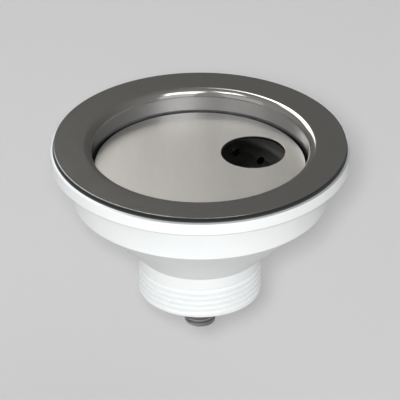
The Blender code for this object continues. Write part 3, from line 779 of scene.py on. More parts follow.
@dataclass(frozen=True, kw_only=True)
class MetalFinish(Finish):
    """A metal with fine finishing marks, faint clouding and a few hairline scratches."""

    lay: Lay
    mark_width: float
    mark_depth: float
    mark_length: float = 20.0 * MM
    turned_repeats: float = 3.0
    turned_detail: float = 2.0
    brushed_detail: float = 3.0
    cloud_size: float = 14.0 * MM
    scratch_size: float = 9.0 * MM
    scratch_narrowing: float = 30.0
    scratch_turn: float = math.radians(35)
    scratch_span: Point = (0.69, 0.72)
    scratch_patches: Point = (0.5, 0.62)
    scratch_detail: float = 1.0
    scratch_roughness: float = 0.035
    cloud_stretch: float = 1.0

    def constants(self) -> dict[str, float]:
        """Makes the shader a metal's."""
        return {"Metallic": 1.0}

    def patterns(self, graph: MaterialGraph) -> tuple[Socket, Socket]:
        """Makes the finishing marks and the clouds.

        Args:
            graph: The material's nodes.

        Returns:
            The two patterns, from 0 to 1.
        """
        if self.lay is Lay.TURNED:
            place = graph.round_the_axis(self.turned_repeats, 1 / self.mark_width)
            detail = self.turned_detail
        else:
            scale = (1 / self.mark_width, 1 / self.mark_length, 1 / self.mark_width)
            place = graph.stretched(graph.place(), scale)
            detail = self.brushed_detail
        marks = graph.noise(place, 1.0, detail)
        scale = (1 / self.cloud_size, 1 / (self.cloud_size * self.cloud_stretch), 1 / self.cloud_size)
        return marks, graph.noise(graph.stretched(graph.place(), scale), 1.0, CLOUD_DETAIL)

    def scratches(self, graph: MaterialGraph) -> Socket:
        """Makes a few hairlines that lie across the marks.

        Args:
            graph: The material's nodes.

        Returns:
            The roughness that they add.
        """
        along = 1 / self.scratch_size
        scale = (along, along * self.scratch_narrowing, along)
        place = graph.stretched(graph.place(), scale, self.scratch_turn)
        lines = graph.between(graph.noise(place, 1.0, self.scratch_detail), self.scratch_span, NONE_TO_ALL)
        patches = graph.noise(graph.place(), 1 / self.cloud_size, 0.0)
        kept = graph.math("MULTIPLY", lines, graph.between(patches, self.scratch_patches, NONE_TO_ALL))
        return graph.math("MULTIPLY", kept, self.scratch_roughness)

    def relief(self, graph: MaterialGraph, fine: Socket, clouds: Socket) -> Socket:
        """Makes the normal that the marks bend."""
        return graph.bump(fine, self.mark_depth)


@dataclass(frozen=True, kw_only=True)
class MouldedFinish(Finish):
    """A moulded plastic or rubber with a fine skin and faint flow clouds."""

    grain_size: float
    grain_depth: float
    grain_detail: float = 3.0
    wave_depth: float = 0.006 * MM
    cloud_size: float = 18.0 * MM
    specular: float = 0.5

    def constants(self) -> dict[str, float]:
        """Sets how much the skin shines."""
        return {"Specular IOR Level": self.specular}

    def patterns(self, graph: MaterialGraph) -> tuple[Socket, Socket]:
        """Makes the skin's grain and the clouds."""
        grain = graph.noise(graph.place(), 1 / self.grain_size, self.grain_detail)
        return grain, graph.noise(graph.place(), 1 / self.cloud_size, CLOUD_DETAIL)

    def relief(self, graph: MaterialGraph, fine: Socket, clouds: Socket) -> Socket:
        """Makes the normal that the grain bends, on waves as wide as the clouds."""
        return graph.bump(fine, self.grain_depth, graph.bump(clouds, self.wave_depth))


# The zones, each with the way that its faces look and the radii that it lies between. Most of them paint
# shade or light into the colour, as said at each.
# Near-black colour of painted shade, used on steel edges that face sideways.
EDGE_SHADE_COLOUR = (0.06, 0.064, 0.06)
UPRIGHT_SPAN = (0.35, 0.6)
# Painted shade: the flange's outer edge is coloured near black, in place of the dark reflection there, and
# is rougher.
FLANGE_EDGE_SHADE = Zone(Facing.ASIDE, (50.0 * MM, 70.0 * MM), (0.45, 0.72), EDGE_SHADE_COLOUR, 0.3)
DRAWN_WALL = Zone(Facing.ASIDE, (30.0 * MM, 45.0 * MM), (0.2, 0.38), (0.62, 0.632, 0.66), 0.1)
# Painted light: the basket's inner wall is paler and rougher, for the lit patch that shows through the
# finger hole.
BASKET_WALL_LIGHT = Zone(Facing.INWARD, (34.0 * MM, 42.0 * MM), (0.6, 0.95), (0.67, 0.67, 0.655), 0.35)
# Painted shade: the wall of the finger hole is coloured near black, and is rougher.
FINGER_HOLE_EDGE_SHADE = Zone(Facing.ASIDE, (5.0 * MM, 38.0 * MM), UPRIGHT_SPAN, EDGE_SHADE_COLOUR, 0.3)
# The plate's outer edge is paler and rougher: partly a bright cut edge, partly painted light that lifts the
# dark gap round the plate.
PLATE_EDGE_CUT_AND_LIGHT = Zone(Facing.ASIDE, (38.0 * MM, 45.0 * MM), UPRIGHT_SPAN, (0.9, 0.9, 0.88), 0.5)
# Painted shade: the white rim's top under the gasket is coloured near black.
UNDER_GASKET_SHADE = Zone(Facing.UP, (50.0 * MM, 57.35 * MM), (0.75, 0.95), (0.07, 0.075, 0.075), 0.1)
# Painted shade: the rim's ledge outside the flange is darker towards the front right, where the flange
# shades it.
RIM_LEDGE_SHADE = Zone(
    Facing.UP,
    (57.35 * MM, 70.0 * MM),
    (0.25, 0.5),
    (0.34, 0.35, 0.35),
    towards=(0.5, -0.87, 0.0),
    towards_span=(10.0 * MM, 45.0 * MM),
)

FINISHES = (
    MetalFinish(
        slot=Slot.POLISHED_STEEL,
        lay=Lay.TURNED,
        colour=(0.585, 0.575, 0.54),
        clouded_colour=(0.565, 0.555, 0.52),
        roughness=0.12,
        roughness_spread=0.02,
        mark_width=0.22 * MM,
        mark_depth=0.0008 * MM,
        zones=(FLANGE_EDGE_SHADE, DRAWN_WALL),
    ),
    MetalFinish(
        slot=Slot.BRUSHED_STEEL,
        lay=Lay.BRUSHED,
        colour=(0.72, 0.695, 0.65),
        clouded_colour=(0.69, 0.665, 0.62),
        roughness=0.4,
        roughness_spread=0.05,
        mark_width=0.14 * MM,
        mark_depth=0.004 * MM,
        cloud_size=5.0 * MM,
        cloud_stretch=12.0,
        zones=(FINGER_HOLE_EDGE_SHADE, PLATE_EDGE_CUT_AND_LIGHT),
    ),
    MetalFinish(
        slot=Slot.BASKET_STEEL,
        lay=Lay.TURNED,
        colour=(0.5, 0.5, 0.49),
        clouded_colour=(0.44, 0.44, 0.43),
        roughness=0.26,
        roughness_spread=0.04,
        mark_width=0.2 * MM,
        mark_depth=0.002 * MM,
        zones=(BASKET_WALL_LIGHT,),
    ),
    MetalFinish(
        slot=Slot.SCREW_STEEL,
        lay=Lay.TURNED,
        colour=(0.56, 0.56, 0.55),
        clouded_colour=(0.44, 0.44, 0.43),
        roughness=0.36,
        roughness_spread=0.06,
        mark_width=0.12 * MM,
        mark_depth=0.004 * MM,
    ),
    MetalFinish(
        slot=Slot.BRASS,
        lay=Lay.TURNED,
        colour=(0.72, 0.53, 0.24),
        clouded_colour=(0.62, 0.43, 0.18),
        roughness=0.3,
        roughness_spread=0.05,
        mark_width=0.15 * MM,
        mark_depth=0.003 * MM,
    ),
    MouldedFinish(
        slot=Slot.WHITE_PLASTIC,
        colour=(0.862, 0.879, 0.879),
        clouded_colour=(0.842, 0.86, 0.861),
        roughness=0.42,
        roughness_spread=0.05,
        grain_size=0.35 * MM,
        grain_depth=0.003 * MM,
        zones=(UNDER_GASKET_SHADE, RIM_LEDGE_SHADE),
    ),
    MouldedFinish(
        slot=Slot.GREY_PLASTIC,
        colour=(0.27, 0.28, 0.29),
        clouded_colour=(0.24, 0.25, 0.26),
        roughness=0.48,
        roughness_spread=0.05,
        grain_size=0.3 * MM,
        grain_depth=0.004 * MM,
    ),
    MouldedFinish(
        slot=Slot.BLACK_RUBBER,
        colour=(0.022, 0.025, 0.024),
        clouded_colour=(0.035, 0.037, 0.036),
        roughness=0.62,
        roughness_spread=0.08,
        grain_size=0.25 * MM,
        grain_depth=0.008 * MM,
    ),
    MouldedFinish(
        slot=Slot.GREY_RUBBER,
        colour=(0.2, 0.2, 0.2),
        clouded_colour=(0.17, 0.17, 0.17),
        roughness=0.66,
        roughness_spread=0.08,
        grain_size=0.25 * MM,
        grain_depth=0.008 * MM,
    ),
)


@dataclass(frozen=True)
class Piece:
    """A fine mesh, the solid that it stands for and its finish."""

    obj: Object
    node: str
    slot: Slot


class SubAssembly:
    """Pieces that are built together and ride on one body."""

    body: Body

    def build(self) -> list[Piece]:
        """Builds the pieces."""
        raise NotImplementedError

    def dress(self, piece: Piece, materials: dict[Slot, bpy.types.Material]) -> None:
        """Gives a piece its finish, its body and its solid's place.

        Args:
            piece: The piece.
            materials: The materials by slot.
        """
        level_shading(piece.obj)
        piece.obj.data.materials.clear()
        piece.obj.data.materials.append(materials[piece.slot])
        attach(piece.obj, self.body.value)
        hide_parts(piece.node)


@dataclass
class FlangeCup(SubAssembly):
    """The pressed steel cup with its flange, and the thin gasket under the flange."""

    sheet: float = 0.7 * MM
    mouth_radius: float = 42.3 * MM
    lip_round: float = 3.3 * MM
    edge_round: float = 0.28 * MM
    wall_depth: float = 18.0 * MM
    wall_draft: float = 0.4 * MM
    bowl_round: float = 6.0 * MM
    seat_depth: float = 33.0 * MM
    seat_radius: float = 25.0 * MM
    seat_width: float = 3.5 * MM
    seat_round: float = 1.2 * MM
    recess_draft: float = 0.8 * MM
    floor_rim: float = 0.9 * MM
    hub_radius: float = 10.4 * MM
    screw_hole_radius: float = 6.3 * MM
    spoke_width: float = 4.4 * MM
    spokes: int = 4
    spoke_turn: float = math.radians(45)
    opening_round: float = 1.0 * MM
    opening_steps: int = 14
    gasket_round: float = 0.2 * MM
    gasket_inset: float = 3.1 * MM
    body: Body = Body.DRAIN

    def build(self) -> list[Piece]:
        """Builds the cup and its gasket.

        Returns:
            The two pieces.
        """
        return [
            Piece(self.build_cup(), "flange_cup", Slot.POLISHED_STEEL),
            Piece(self.build_gasket(), "flange_gasket", Slot.BLACK_RUBBER),
        ]

    def build_cup(self) -> Object:
        """Spins the pressing and cuts the openings in its floor.

        Returns:
            The cup.
        """
        flange_radius, underside, top = solid_size("flange_cup")
        floor = underside + self.sheet
        seat_inner = self.seat_radius - self.seat_width
        floor_radius = seat_inner - self.recess_draft
        corners = [
            (flange_radius, top, 0),
            (self.mouth_radius, top, self.lip_round),
            (self.mouth_radius - self.wall_draft, top - self.wall_depth, self.bowl_round),
            (self.seat_radius, top - self.seat_depth, self.seat_round),
            (seat_inner, top - self.seat_depth, self.seat_round),
            (floor_radius, floor, self.seat_round),
            (self.screw_hole_radius, floor, 0),
        ]
        outline = rounded(pressed(corners, self.sheet, self.edge_round))
        cup = turned("pressed_cup", outline, WIDE_SIDES)
        bm = bmesh.new()
        for i in range(self.spokes):
            add_prism(bm, self.opening(i, floor_radius), underside - CUT_OVERRUN, floor + CUT_OVERRUN)
        combine(cup, add_object("floor_openings", bm), Operation.CUT)
        return cup

    def opening(self, index: int, floor_radius: float) -> list[Point]:
        """Outlines one opening between two spokes with parallel sides.

        Args:
            index: Which opening.
            floor_radius: The floor's radius.

        Returns:
            The outline, with its corners rounded.
        """
        middle = self.spoke_turn + math.tau * (index + 0.5) / self.spokes
        corners = []
        for radius, way in ((floor_radius - self.floor_rim, 1), (self.hub_radius, -1)):
            reach = math.pi / self.spokes - math.asin(self.spoke_width / 2 / radius)
            steps = self.opening_steps
            for step in range(-steps // 2, steps // 2 + 1):
                angle = middle + way * reach * step * 2 / steps
                corner_round = self.opening_round if abs(step) * 2 == steps else 0.0
                corners.append((*polar(radius, angle), corner_round))
        return rounded(corners)

    def build_gasket(self) -> Object:
        """Spins the thin ring between the flange and the sink."""
        bore = self.mouth_radius + self.gasket_inset
        return spun_ring("flange_ring", "flange_gasket", bore, self.gasket_round, WIDE_SIDES)


@dataclass
class WasteBody(SubAssembly):
    """The white moulding with its threaded outlet, the gasket in its rim and the nut in its hub."""

    rim_height: float = 5.45 * MM
    rim_top_round: float = 0.8 * MM
    rim_foot_round: float = 0.5 * MM
    gasket_inset: float = 2.6 * MM
    gasket_thick: float = 2.2 * MM
    gasket_width: float = 6.0 * MM
    gasket_round: float = 0.3 * MM
    chamber_bore: float = 46.9 * MM
    chamber_radius: float = 49.5 * MM
    chamber_underside: float = -21.5 * MM
    chamber_round: float = 1.3 * MM
    chamber_foot_round: float = 0.4 * MM
    ledge: float = 1.8 * MM
    funnel_wall: float = 2.4 * MM
    funnel_foot_round: float = 0.3 * MM
    outlet_radius: float = 23.9 * MM
    outlet_root: float = 22.4215 * MM
    outlet_bore: float = 20.0215 * MM
    outlet_length: float = 17.4 * MM
    collar: float = 4.0 * MM
    thread_pitch: float = 2.309 * MM
    end_ring_radius: float = 23.1 * MM
    end_ring_height: float = 1.0 * MM
    crest_share: float = 0.42
    hub_wall: float = 1.9 * MM
    rib_width: float = 2.6 * MM
    ribs: int = 4
    rib_turn: float = math.radians(45)
    hub_arc_steps: int = 24
    screw_hole_radius: float = 6.3 * MM
    nut_across_flats: float = 18.0 * MM
    nut_chamfer: float = 0.7 * MM
    nut_edge: float = 0.15 * MM
    body: Body = Body.DRAIN

    def build(self) -> list[Piece]:
        """Builds the moulding, the rim's gasket and the nut.

        Returns:
            The three pieces.
        """
        return [
            Piece(self.build_moulding(), "waste_body", Slot.WHITE_PLASTIC),
            Piece(self.build_rim_gasket(), "rim_gasket", Slot.GREY_RUBBER),
            Piece(self.build_nut(), "screw_nut", Slot.BRASS),
        ]

    def section(self, rim_radius: float, rim_top: float, outlet_end: float, thread: Thread) -> list[Corner]:
        """Lists the corners of the moulding's section, from the thread's top round to its foot.

        Args:
            rim_radius: The rim's radius.
            rim_top: The rim's upper face.
            outlet_end: The outlet's lower end.
            thread: The outlet's thread, which closes the section.

        Returns:
            The corners.
        """
        outlet_top = outlet_end + self.outlet_length
        groove_outer = rim_radius - self.gasket_inset
        groove_inner = groove_outer - self.gasket_width - 2 * SIDE_GAP
        groove_floor = rim_top - self.gasket_thick - SEAT_GAP
        drop = self.chamber_underside - outlet_top
        run = drop / (self.chamber_radius - self.ledge - self.outlet_radius)
        level_wall = self.funnel_wall * math.hypot(1, run)
        funnel_foot = outlet_top + level_wall - (self.outlet_radius - self.outlet_bore) * run
        funnel_head = outlet_top + level_wall + (self.chamber_bore - self.outlet_radius) * run
        return [
            (self.outlet_radius, thread.high, 0),
            (self.outlet_radius, outlet_top, self.funnel_foot_round),
            (self.chamber_radius - self.ledge, self.chamber_underside, self.chamber_round),
            (self.chamber_radius, self.chamber_underside, self.chamber_foot_round),
            (self.chamber_radius, rim_top - self.rim_height, self.chamber_round),
            (rim_radius, rim_top - self.rim_height, self.rim_foot_round),
            (rim_radius, rim_top, self.rim_top_round),
            (groove_outer, rim_top, 0),
            (groove_outer, groove_floor, 0),
            (groove_inner, groove_floor, 0),
            (groove_inner, rim_top, 0),
            (self.chamber_bore, rim_top, 0),
            (self.chamber_bore, funnel_head, self.chamber_round),
            (self.outlet_bore, funnel_foot, self.chamber_round),
            (self.outlet_bore, outlet_end, 0),
            (thread.foot_radius, outlet_end, 0),
        ]

    def build_moulding(self) -> Object:
        """Spins the moulding, joins its hub on ribs and cuts the hub's bore and pocket.

        Returns:
            The moulding.
        """
        rim_radius, outlet_end, rim_top = solid_size("waste_body")
        outlet_top = outlet_end + self.outlet_length
        thread = Thread(
            radius=self.outlet_radius,
            root_radius=self.outlet_root,
            pitch=self.thread_pitch,
            low=outlet_end,
            high=outlet_top - self.collar,
            end_radius=self.end_ring_radius,
            end_height=self.end_ring_height,
            crest_share=self.crest_share,
        )
        outline = rounded(self.section(rim_radius, rim_top, outlet_end, thread))
        moulding = turned("moulded_body", outline, WIDE_SIDES, thread)
        nut_low, nut_high = solid_size("screw_nut")[1:]
        combine(moulding, self.hub(nut_low, outlet_top), Operation.JOIN)
        drill(moulding, self.screw_hole_radius, nut_low, outlet_top)
        pocket = polygon(corner_radius(self.nut_across_flats + 2 * SIDE_GAP), HEXAGON)
        cutter = prism("nut_pocket", pocket, nut_low - CUT_OVERRUN, nut_high + SEAT_GAP)
        combine(moulding, cutter, Operation.CUT)
        return moulding

    def hub(self, low: float, high: float) -> Object:
        """Makes the hub round the nut and the ribs that carry it.

        Args:
            low: The hub's underside.
            high: The hub's top.

        Returns:
            The hub and ribs.
        """
        hub_radius = corner_radius(self.nut_across_flats) + SIDE_GAP + self.hub_wall
        reach = (self.outlet_bore + self.outlet_root) / 2
        half = math.asin(self.rib_width / 2 / hub_radius)
        span = math.tau / self.ribs - 2 * half
        outline = []
        for i in range(self.ribs):
            middle = self.rib_turn + math.tau * i / self.ribs
            ahead = Vector(polar(1, middle))
            aside = Vector((-ahead.y, ahead.x)) * self.rib_width / 2
            outline += [tuple(ahead * reach - aside), tuple(ahead * reach + aside)]
            for step in range(self.hub_arc_steps + 1):
                outline.append(polar(hub_radius, middle + half + span * step / self.hub_arc_steps))
        return prism("hub_and_ribs", outline, low, high)

    def build_rim_gasket(self) -> Object:
        """Spins the gasket in the rim's groove."""
        bore = solid_size("rim_gasket")[0] - self.gasket_width
        return spun_ring("rim_ring", "rim_gasket", bore, self.gasket_round, WIDE_SIDES)

    def build_nut(self) -> Object:
        """Makes the chamfered nut in the hub."""
        sizes = (self.nut_across_flats, self.screw_hole_radius, self.nut_edge, self.nut_chamfer)
        return hexagon_nut("hub_nut", "screw_nut", *sizes)


@dataclass
class ClampScrew(SubAssembly):
    """The hollow screw that clamps cup and body together, and its washer."""

    radius: float = 6.0 * MM
    root_radius: float = 4.93 * MM
    bore_radius: float = 3.75 * MM
    pitch: float = 1.75 * MM
    head_height: float = 2.5 * MM
    head_round: float = 0.7 * MM
    slot_width: float = 2.2 * MM
    slot_depth: float = 1.2 * MM
    edge_round: float = 0.2 * MM
    end_ring_radius: float = 5.7 * MM
    end_ring_height: float = 0.5 * MM
    washer_bore: float = 6.3 * MM
    body: Body = Body.DRAIN

    def build(self) -> list[Piece]:
        """Builds the screw and its washer.

        Returns:
            The two pieces.
        """
        return [
            Piece(self.build_screw(), "clamp_screw", Slot.SCREW_STEEL),
            Piece(self.build_washer(), "screw_washer", Slot.SCREW_STEEL),
        ]

    def build_screw(self) -> Object:
        """Spins the screw with its thread and cuts the slot in its head.

        Returns:
            The screw.
        """
        head_radius, end, head_top = solid_size("clamp_screw")
        thread_top = solid_size("screw_nut")[2]
        thread = Thread(
            radius=self.radius,
            root_radius=self.root_radius,
            pitch=self.pitch,
            low=end,
            high=thread_top,
            end_radius=self.end_ring_radius,
            end_height=self.end_ring_height,
        )
        head_underside = head_top - self.head_height
        corners = [
            (self.radius, thread_top, 0),
            (self.radius, head_underside, 0),
            (head_radius, head_underside, self.edge_round),
            (head_radius, head_top, self.head_round),
            (self.bore_radius, head_top, self.edge_round),
            (self.bore_radius, end, self.edge_round),
            (thread.foot_radius, end, 0),
        ]
        screw = turned("hollow_screw", rounded(corners), NARROW_SIDES, thread)
        reach = head_radius + CUT_OVERRUN
        half = self.slot_width / 2
        slot = [(-reach, -half), (reach, -half), (reach, half), (-reach, half)]
        cutter = prism("head_slot", slot, head_top - self.slot_depth, head_top + CUT_OVERRUN)
        combine(screw, cutter, Operation.CUT)
        return screw

    def build_washer(self) -> Object:
        """Spins the washer under the screw's head."""
        sizes = (self.washer_bore, self.edge_round, NARROW_SIDES)
        return spun_ring("screw_head_washer", "screw_washer", *sizes)


@dataclass
class SpringSleeve(SubAssembly):
    """The slotted sleeve that plugs the strainer's stem into the hollow screw."""

    radius: float = 3.4 * MM
    bore: float = 2.3 * MM
    collar_height: float = 1.0 * MM
    slot_width: float = 0.9 * MM
    slot_share: float = 0.6
    slots: int = 4
    tip_round: float = 0.6 * MM
    collar_round: float = 0.25 * MM
    body: Body = Body.STEM

    def build(self) -> list[Piece]:
        """Builds the sleeve.

        Returns:
            The piece.
        """
        collar_radius, end, top = solid_size("spring_sleeve")
        corners = [
            (self.bore, end, 0),
            (self.radius, end, self.tip_round),
            (self.radius, top - self.collar_height, 0),
            (collar_radius, top - self.collar_height, self.collar_round),
            (collar_radius, top, self.collar_round),
            (self.bore, top, 0),
        ]
        sleeve = turned("plug_sleeve", rounded(corners), NARROW_SIDES)
        long, half = self.radius + CUT_OVERRUN, self.slot_width / 2
        cross = [(long, -half), (long, half), (half, half)]
        outline = []
        for i in range(self.slots):
            turn = Matrix.Rotation(math.tau * i / self.slots, 2)
            outline += [tuple(turn @ Vector(point)) for point in cross]
        slot_top = end + (top - end) * self.slot_share
        combine(sleeve, prism("sleeve_slots", outline, end - CUT_OVERRUN, slot_top), Operation.CUT)
        return [Piece(sleeve, "spring_sleeve", Slot.GREY_PLASTIC)]


@dataclass
class Strainer(SubAssembly):
    """The perforated basket with its seal, its knob, and the pin that holds them together."""

    sheet: float = 0.6 * MM
    rim_width: float = 2.2 * MM
    rim_round: float = 0.7 * MM
    rim_edge_round: float = 0.25 * MM
    wall_taper: float = 0.8 * MM
    wall_foot: float = -14.9 * MM
    wall_round: float = 5.0 * MM
    foot_radius: float = 24.0 * MM
    foot_round: float = 2.0 * MM
    hole_radius: float = 1.7 * MM
    hole_row_shares: tuple[float, ...] = (0.32, 0.72)
    holes_in_row: int = 18
    floor_holes: int = 12
    floor_hole_share: float = 0.7
    pin_radius: float = 2.0 * MM
    pin_hole_radius: float = 2.3 * MM
    pin_end_round: float = 0.5 * MM
    groove_depth: float = 0.7 * MM
    clip_mouth: float = math.radians(75)
    clip_edge: float = 0.12 * MM
    seal_round: float = 0.7 * MM
    washer_round: float = 0.2 * MM
    nut_across_flats: float = 8.0 * MM
    nut_edge: float = 0.15 * MM
    knob_neck_radius: float = 4.4 * MM
    knob_cap_radius: float = 7.5 * MM
    knob_cap_height: float = 6.0 * MM
    knob_cap_round: float = 2.2 * MM
    knob_cap_foot_round: float = 1.2 * MM
    knob_foot_height: float = 1.6 * MM
    knob_foot_round: float = 0.8 * MM
    knob_neck_round: float = 1.2 * MM
    body: Body = Body.STRAINER

    def build(self) -> list[Piece]:
        """Builds every piece that lifts out with the basket.

        Returns:
            The eight pieces.
        """
        return [
            Piece(self.build_basket(), "basket", Slot.BASKET_STEEL),
            self.build_disc("strainer_seal", "basket_seal", self.seal_round, Slot.BLACK_RUBBER),
            self.build_disc("seal_backing_washer", "seal_washer", self.washer_round, Slot.SCREW_STEEL),
            Piece(self.build_nut(), "stem_nut", Slot.SCREW_STEEL),
            Piece(self.build_pin(), "stem_pin", Slot.SCREW_STEEL),
            Piece(self.build_clip(), "pin_clip", Slot.SCREW_STEEL),
            self.build_disc("knob_base_washer", "knob_washer", self.washer_round, Slot.BASKET_STEEL),
            Piece(self.build_knob(), "lift_knob", Slot.BASKET_STEEL),
        ]

    def basket_line(self) -> list[Corner]:
        """Lists the corners of the basket's upper face.

        Returns:
            The corners, from the rim to the pin's hole.
        """
        rim_radius, underside, rim_top = solid_size("basket")
        wall_radius = rim_radius - self.rim_width
        return [
            (rim_radius, rim_top, 0),
            (wall_radius, rim_top, self.rim_round),
            (wall_radius - self.wall_taper, self.wall_foot, self.wall_round),
            (self.foot_radius, underside + self.sheet, self.foot_round),
            (self.pin_hole_radius, underside + self.sheet, 0),
        ]

    def build_basket(self) -> Object:
        """Spins the basket and cuts its round holes.

        Returns:
            The basket.
        """
        outline = rounded(pressed(self.basket_line(), self.sheet, self.rim_edge_round))
        basket = turned("strainer_basket", outline, WIDE_SIDES)
        bm = bmesh.new()
        hole = polygon(self.hole_radius, HOLE_SIDES)
        for place in self.hole_places():
            add_prism(bm, hole, -self.sheet - CUT_OVERRUN, CUT_OVERRUN, place)
        combine(basket, add_object("basket_holes", bm), Operation.CUT)
        return basket

    def hole_places(self) -> list[Matrix]:
        """Finds where each hole meets the basket's upper face.

        Returns:
            One place a hole, with its Z axis square to the face.
        """
        top, foot = (Vector((corner[0], 0, corner[1])) for corner in self.basket_line()[2:4])
        slope = math.atan2(top.x - foot.x, top.z - foot.z)
        tilt = Matrix.Rotation(slope - math.pi / 2, 4, "Y")
        places = []
        for row, share in enumerate(self.hole_row_shares):
            centre = Matrix.Translation(top.lerp(foot, share))
            for i in range(self.holes_in_row):
                turn = Matrix.Rotation(math.tau * (i + (row + 0.5) / 2) / self.holes_in_row, 4, "Z")
                places.append(turn @ centre @ tilt)
        centre = Matrix.Translation((self.foot_radius * self.floor_hole_share, 0, foot.z))
        for i in range(self.floor_holes):
            turn = Matrix.Rotation(math.tau * (i + 0.5) / self.floor_holes, 4, "Z")
            places.append(turn @ centre)
        return places

    def build_disc(self, name: str, node: str, edge_round: float, slot: Slot) -> Piece:
        """Spins a washer or seal round the pin, in place of the solid that it is named with."""
        return Piece(spun_ring(name, node, self.pin_hole_radius, edge_round, NARROW_SIDES), node, slot)

    def build_nut(self) -> Object:
        """Makes the nut on the pin."""
        sizes = (self.nut_across_flats, self.pin_hole_radius, self.nut_edge)
        return hexagon_nut("stem_lock_nut", "stem_nut", *sizes)

    def build_pin(self) -> Object:
        """Spins the pin with its groove for the clip.

        Returns:
            The pin.
        """
        end, top = solid_size("stem_pin")[1:]
        clip_low, clip_high = solid_size("pin_clip")[1:]
        groove_radius = self.pin_radius - self.groove_depth
        corners = [
            (0, end, 0),
            (self.pin_radius, end, self.pin_end_round),
            (self.pin_radius, clip_low - SEAT_GAP, 0),
            (groove_radius, clip_low - SEAT_GAP, 0),
            (groove_radius, clip_high + SEAT_GAP, 0),
            (self.pin_radius, clip_high + SEAT_GAP, 0),
            (self.pin_radius, top, 0),
            (0, top, 0),
        ]
        return turned("stem_rod", rounded(corners), NARROW_SIDES)

    def build_clip(self) -> Object:
        """Makes the open clip in the pin's groove.

        Returns:
            The clip.
        """
        low_corner, high_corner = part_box("pin_clip")
        outer = high_corner.y
        inner = self.pin_radius - self.groove_depth + SIDE_GAP
        outline = []
        for radius, way in ((outer, 1), (inner, -1)):
            for step in range(HOLE_SIDES + 1):
                turn = self.clip_mouth / 2 + (math.tau - self.clip_mouth) * step / HOLE_SIDES
                outline.append(polar(radius, way * turn))
        clip = prism("stem_clip", outline, low_corner.z, high_corner.z)
        soften(clip, self.clip_edge)
        return clip

    def build_knob(self) -> Object:
        """Spins the mushroom knob with its socket for the pin.

        Returns:
            The knob.
        """
        foot_radius, underside, top = solid_size("lift_knob")
        socket_top = solid_size("stem_pin")[2] + SEAT_GAP
        neck_foot = underside + self.knob_foot_height
        cap_underside = top - self.knob_cap_height
        corners = [
            (self.pin_hole_radius, underside, 0),
            (foot_radius, underside, 0),
            (foot_radius, neck_foot, self.knob_foot_round),
            (self.knob_neck_radius, neck_foot, self.knob_neck_round),
            (self.knob_neck_radius, cap_underside, self.knob_neck_round),
            (self.knob_cap_radius, cap_underside, self.knob_cap_foot_round),
            (self.knob_cap_radius, top, self.knob_cap_round),
            (0, top, 0),
            (0, socket_top, 0),
            (self.pin_hole_radius, socket_top, 0),
        ]
        return turned("mushroom_knob", rounded(corners), NARROW_SIDES)


@dataclass
class CoverPlate(SubAssembly):
    """The loose cover with its off-centre finger hole."""

    edge_round: float = 0.12 * MM
    hole_radius: float = 12.5 * MM
    hole_reach: float = 22.8 * MM
    hole_turn: float = math.radians(25.5)
    hole_edge_round: float = 0.12 * MM
    body: Body = Body.COVER

    def build(self) -> list[Piece]:
        """Builds the cover.

        Returns:
            The piece.
        """
        low, high = solid_size("cover_plate")[1:]
        plate = spun_ring("loose_cover", "cover_plate", 0, self.edge_round, WIDE_SIDES)
        cutter = turned("finger_hole", self.hole_outline(low, high), WIDE_SIDES)
        cutter.location = Matrix.Rotation(self.hole_turn, 3, "Z") @ Vector((self.hole_reach, 0, 0))
        bpy.context.view_layer.update()
        combine(plate, cutter, Operation.CUT)
        return [Piece(plate, "cover_plate", Slot.BRUSHED_STEEL)]

    def hole_outline(self, low: float, high: float) -> list[Point]:
        """Outlines the hole's cutter, whose ends flare so that the hole's edges are round.

        Args:
            low: The plate's underside.
            high: The plate's upper face.

        Returns:
            The (radius, height) points.
        """
        flare = self.hole_edge_round
        points = [(0, low - CUT_OVERRUN), (self.hole_radius + flare, low - CUT_OVERRUN)]
        for end, way in ((low, 1), (high, -1)):
            arc = []
            for step in range(CORNER_STEPS + 1):
                angle = math.pi / 2 * step / CORNER_STEPS
                out, back = flare * (1 - math.sin(angle)), flare * (1 - math.cos(angle))
                arc.append((self.hole_radius + out, end + way * back))
            points += arc if way > 0 else reversed(arc)
        points += [(self.hole_radius + flare, high + CUT_OVERRUN), (0, high + CUT_OVERRUN)]
        return points


def way_to(azimuth: float, elevation: float) -> Vector:
    """Points from the drain into the room, where azimuth 0 is the camera's side."""
    level = math.cos(elevation)
    return Vector((math.sin(azimuth) * level, -math.cos(azimuth) * level, math.sin(elevation)))


def add_facing(data: bpy.types.ID, aim: Vector, way: Vector, distance: float) -> Object:
    """Adds a lamp or a camera that faces a point.

    Args:
        data: The lamp or the camera, which the object is named after.
        aim: The point that it faces.
        way: The direction from there to the object.
        distance: How far away the object is.

    Returns:
        The object.
    """
    obj = bpy.data.objects.new(data.name, data)
    obj.location = aim + way * distance
    obj.rotation_euler = way.to_track_quat("Z", "Y").to_euler()
    bpy.context.scene.collection.objects.link(obj)
    return obj


@dataclass(frozen=True)
class Panel:
    """A soft lamp that faces the drain, at the angles that the drain sees it."""

    name: str
    azimuth: float
    elevation: float
    distance: float
    width: float
    height: float
    radiance: float
    mirrored: bool = True

    def light(self, aim: Vector) -> None:
        """Hangs the lamp.

        Args:
            aim: The point that it faces.
        """
        data = bpy.data.lights.new(self.name, "AREA")
        data.shape = "RECTANGLE"
        data.size = self.width
        data.size_y = self.height
        data.energy = self.radiance * math.pi * self.width * self.height
        lamp = add_facing(data, aim, way_to(self.azimuth, self.elevation), self.distance)
        lamp.visible_camera = False
        lamp.visible_glossy = self.mirrored


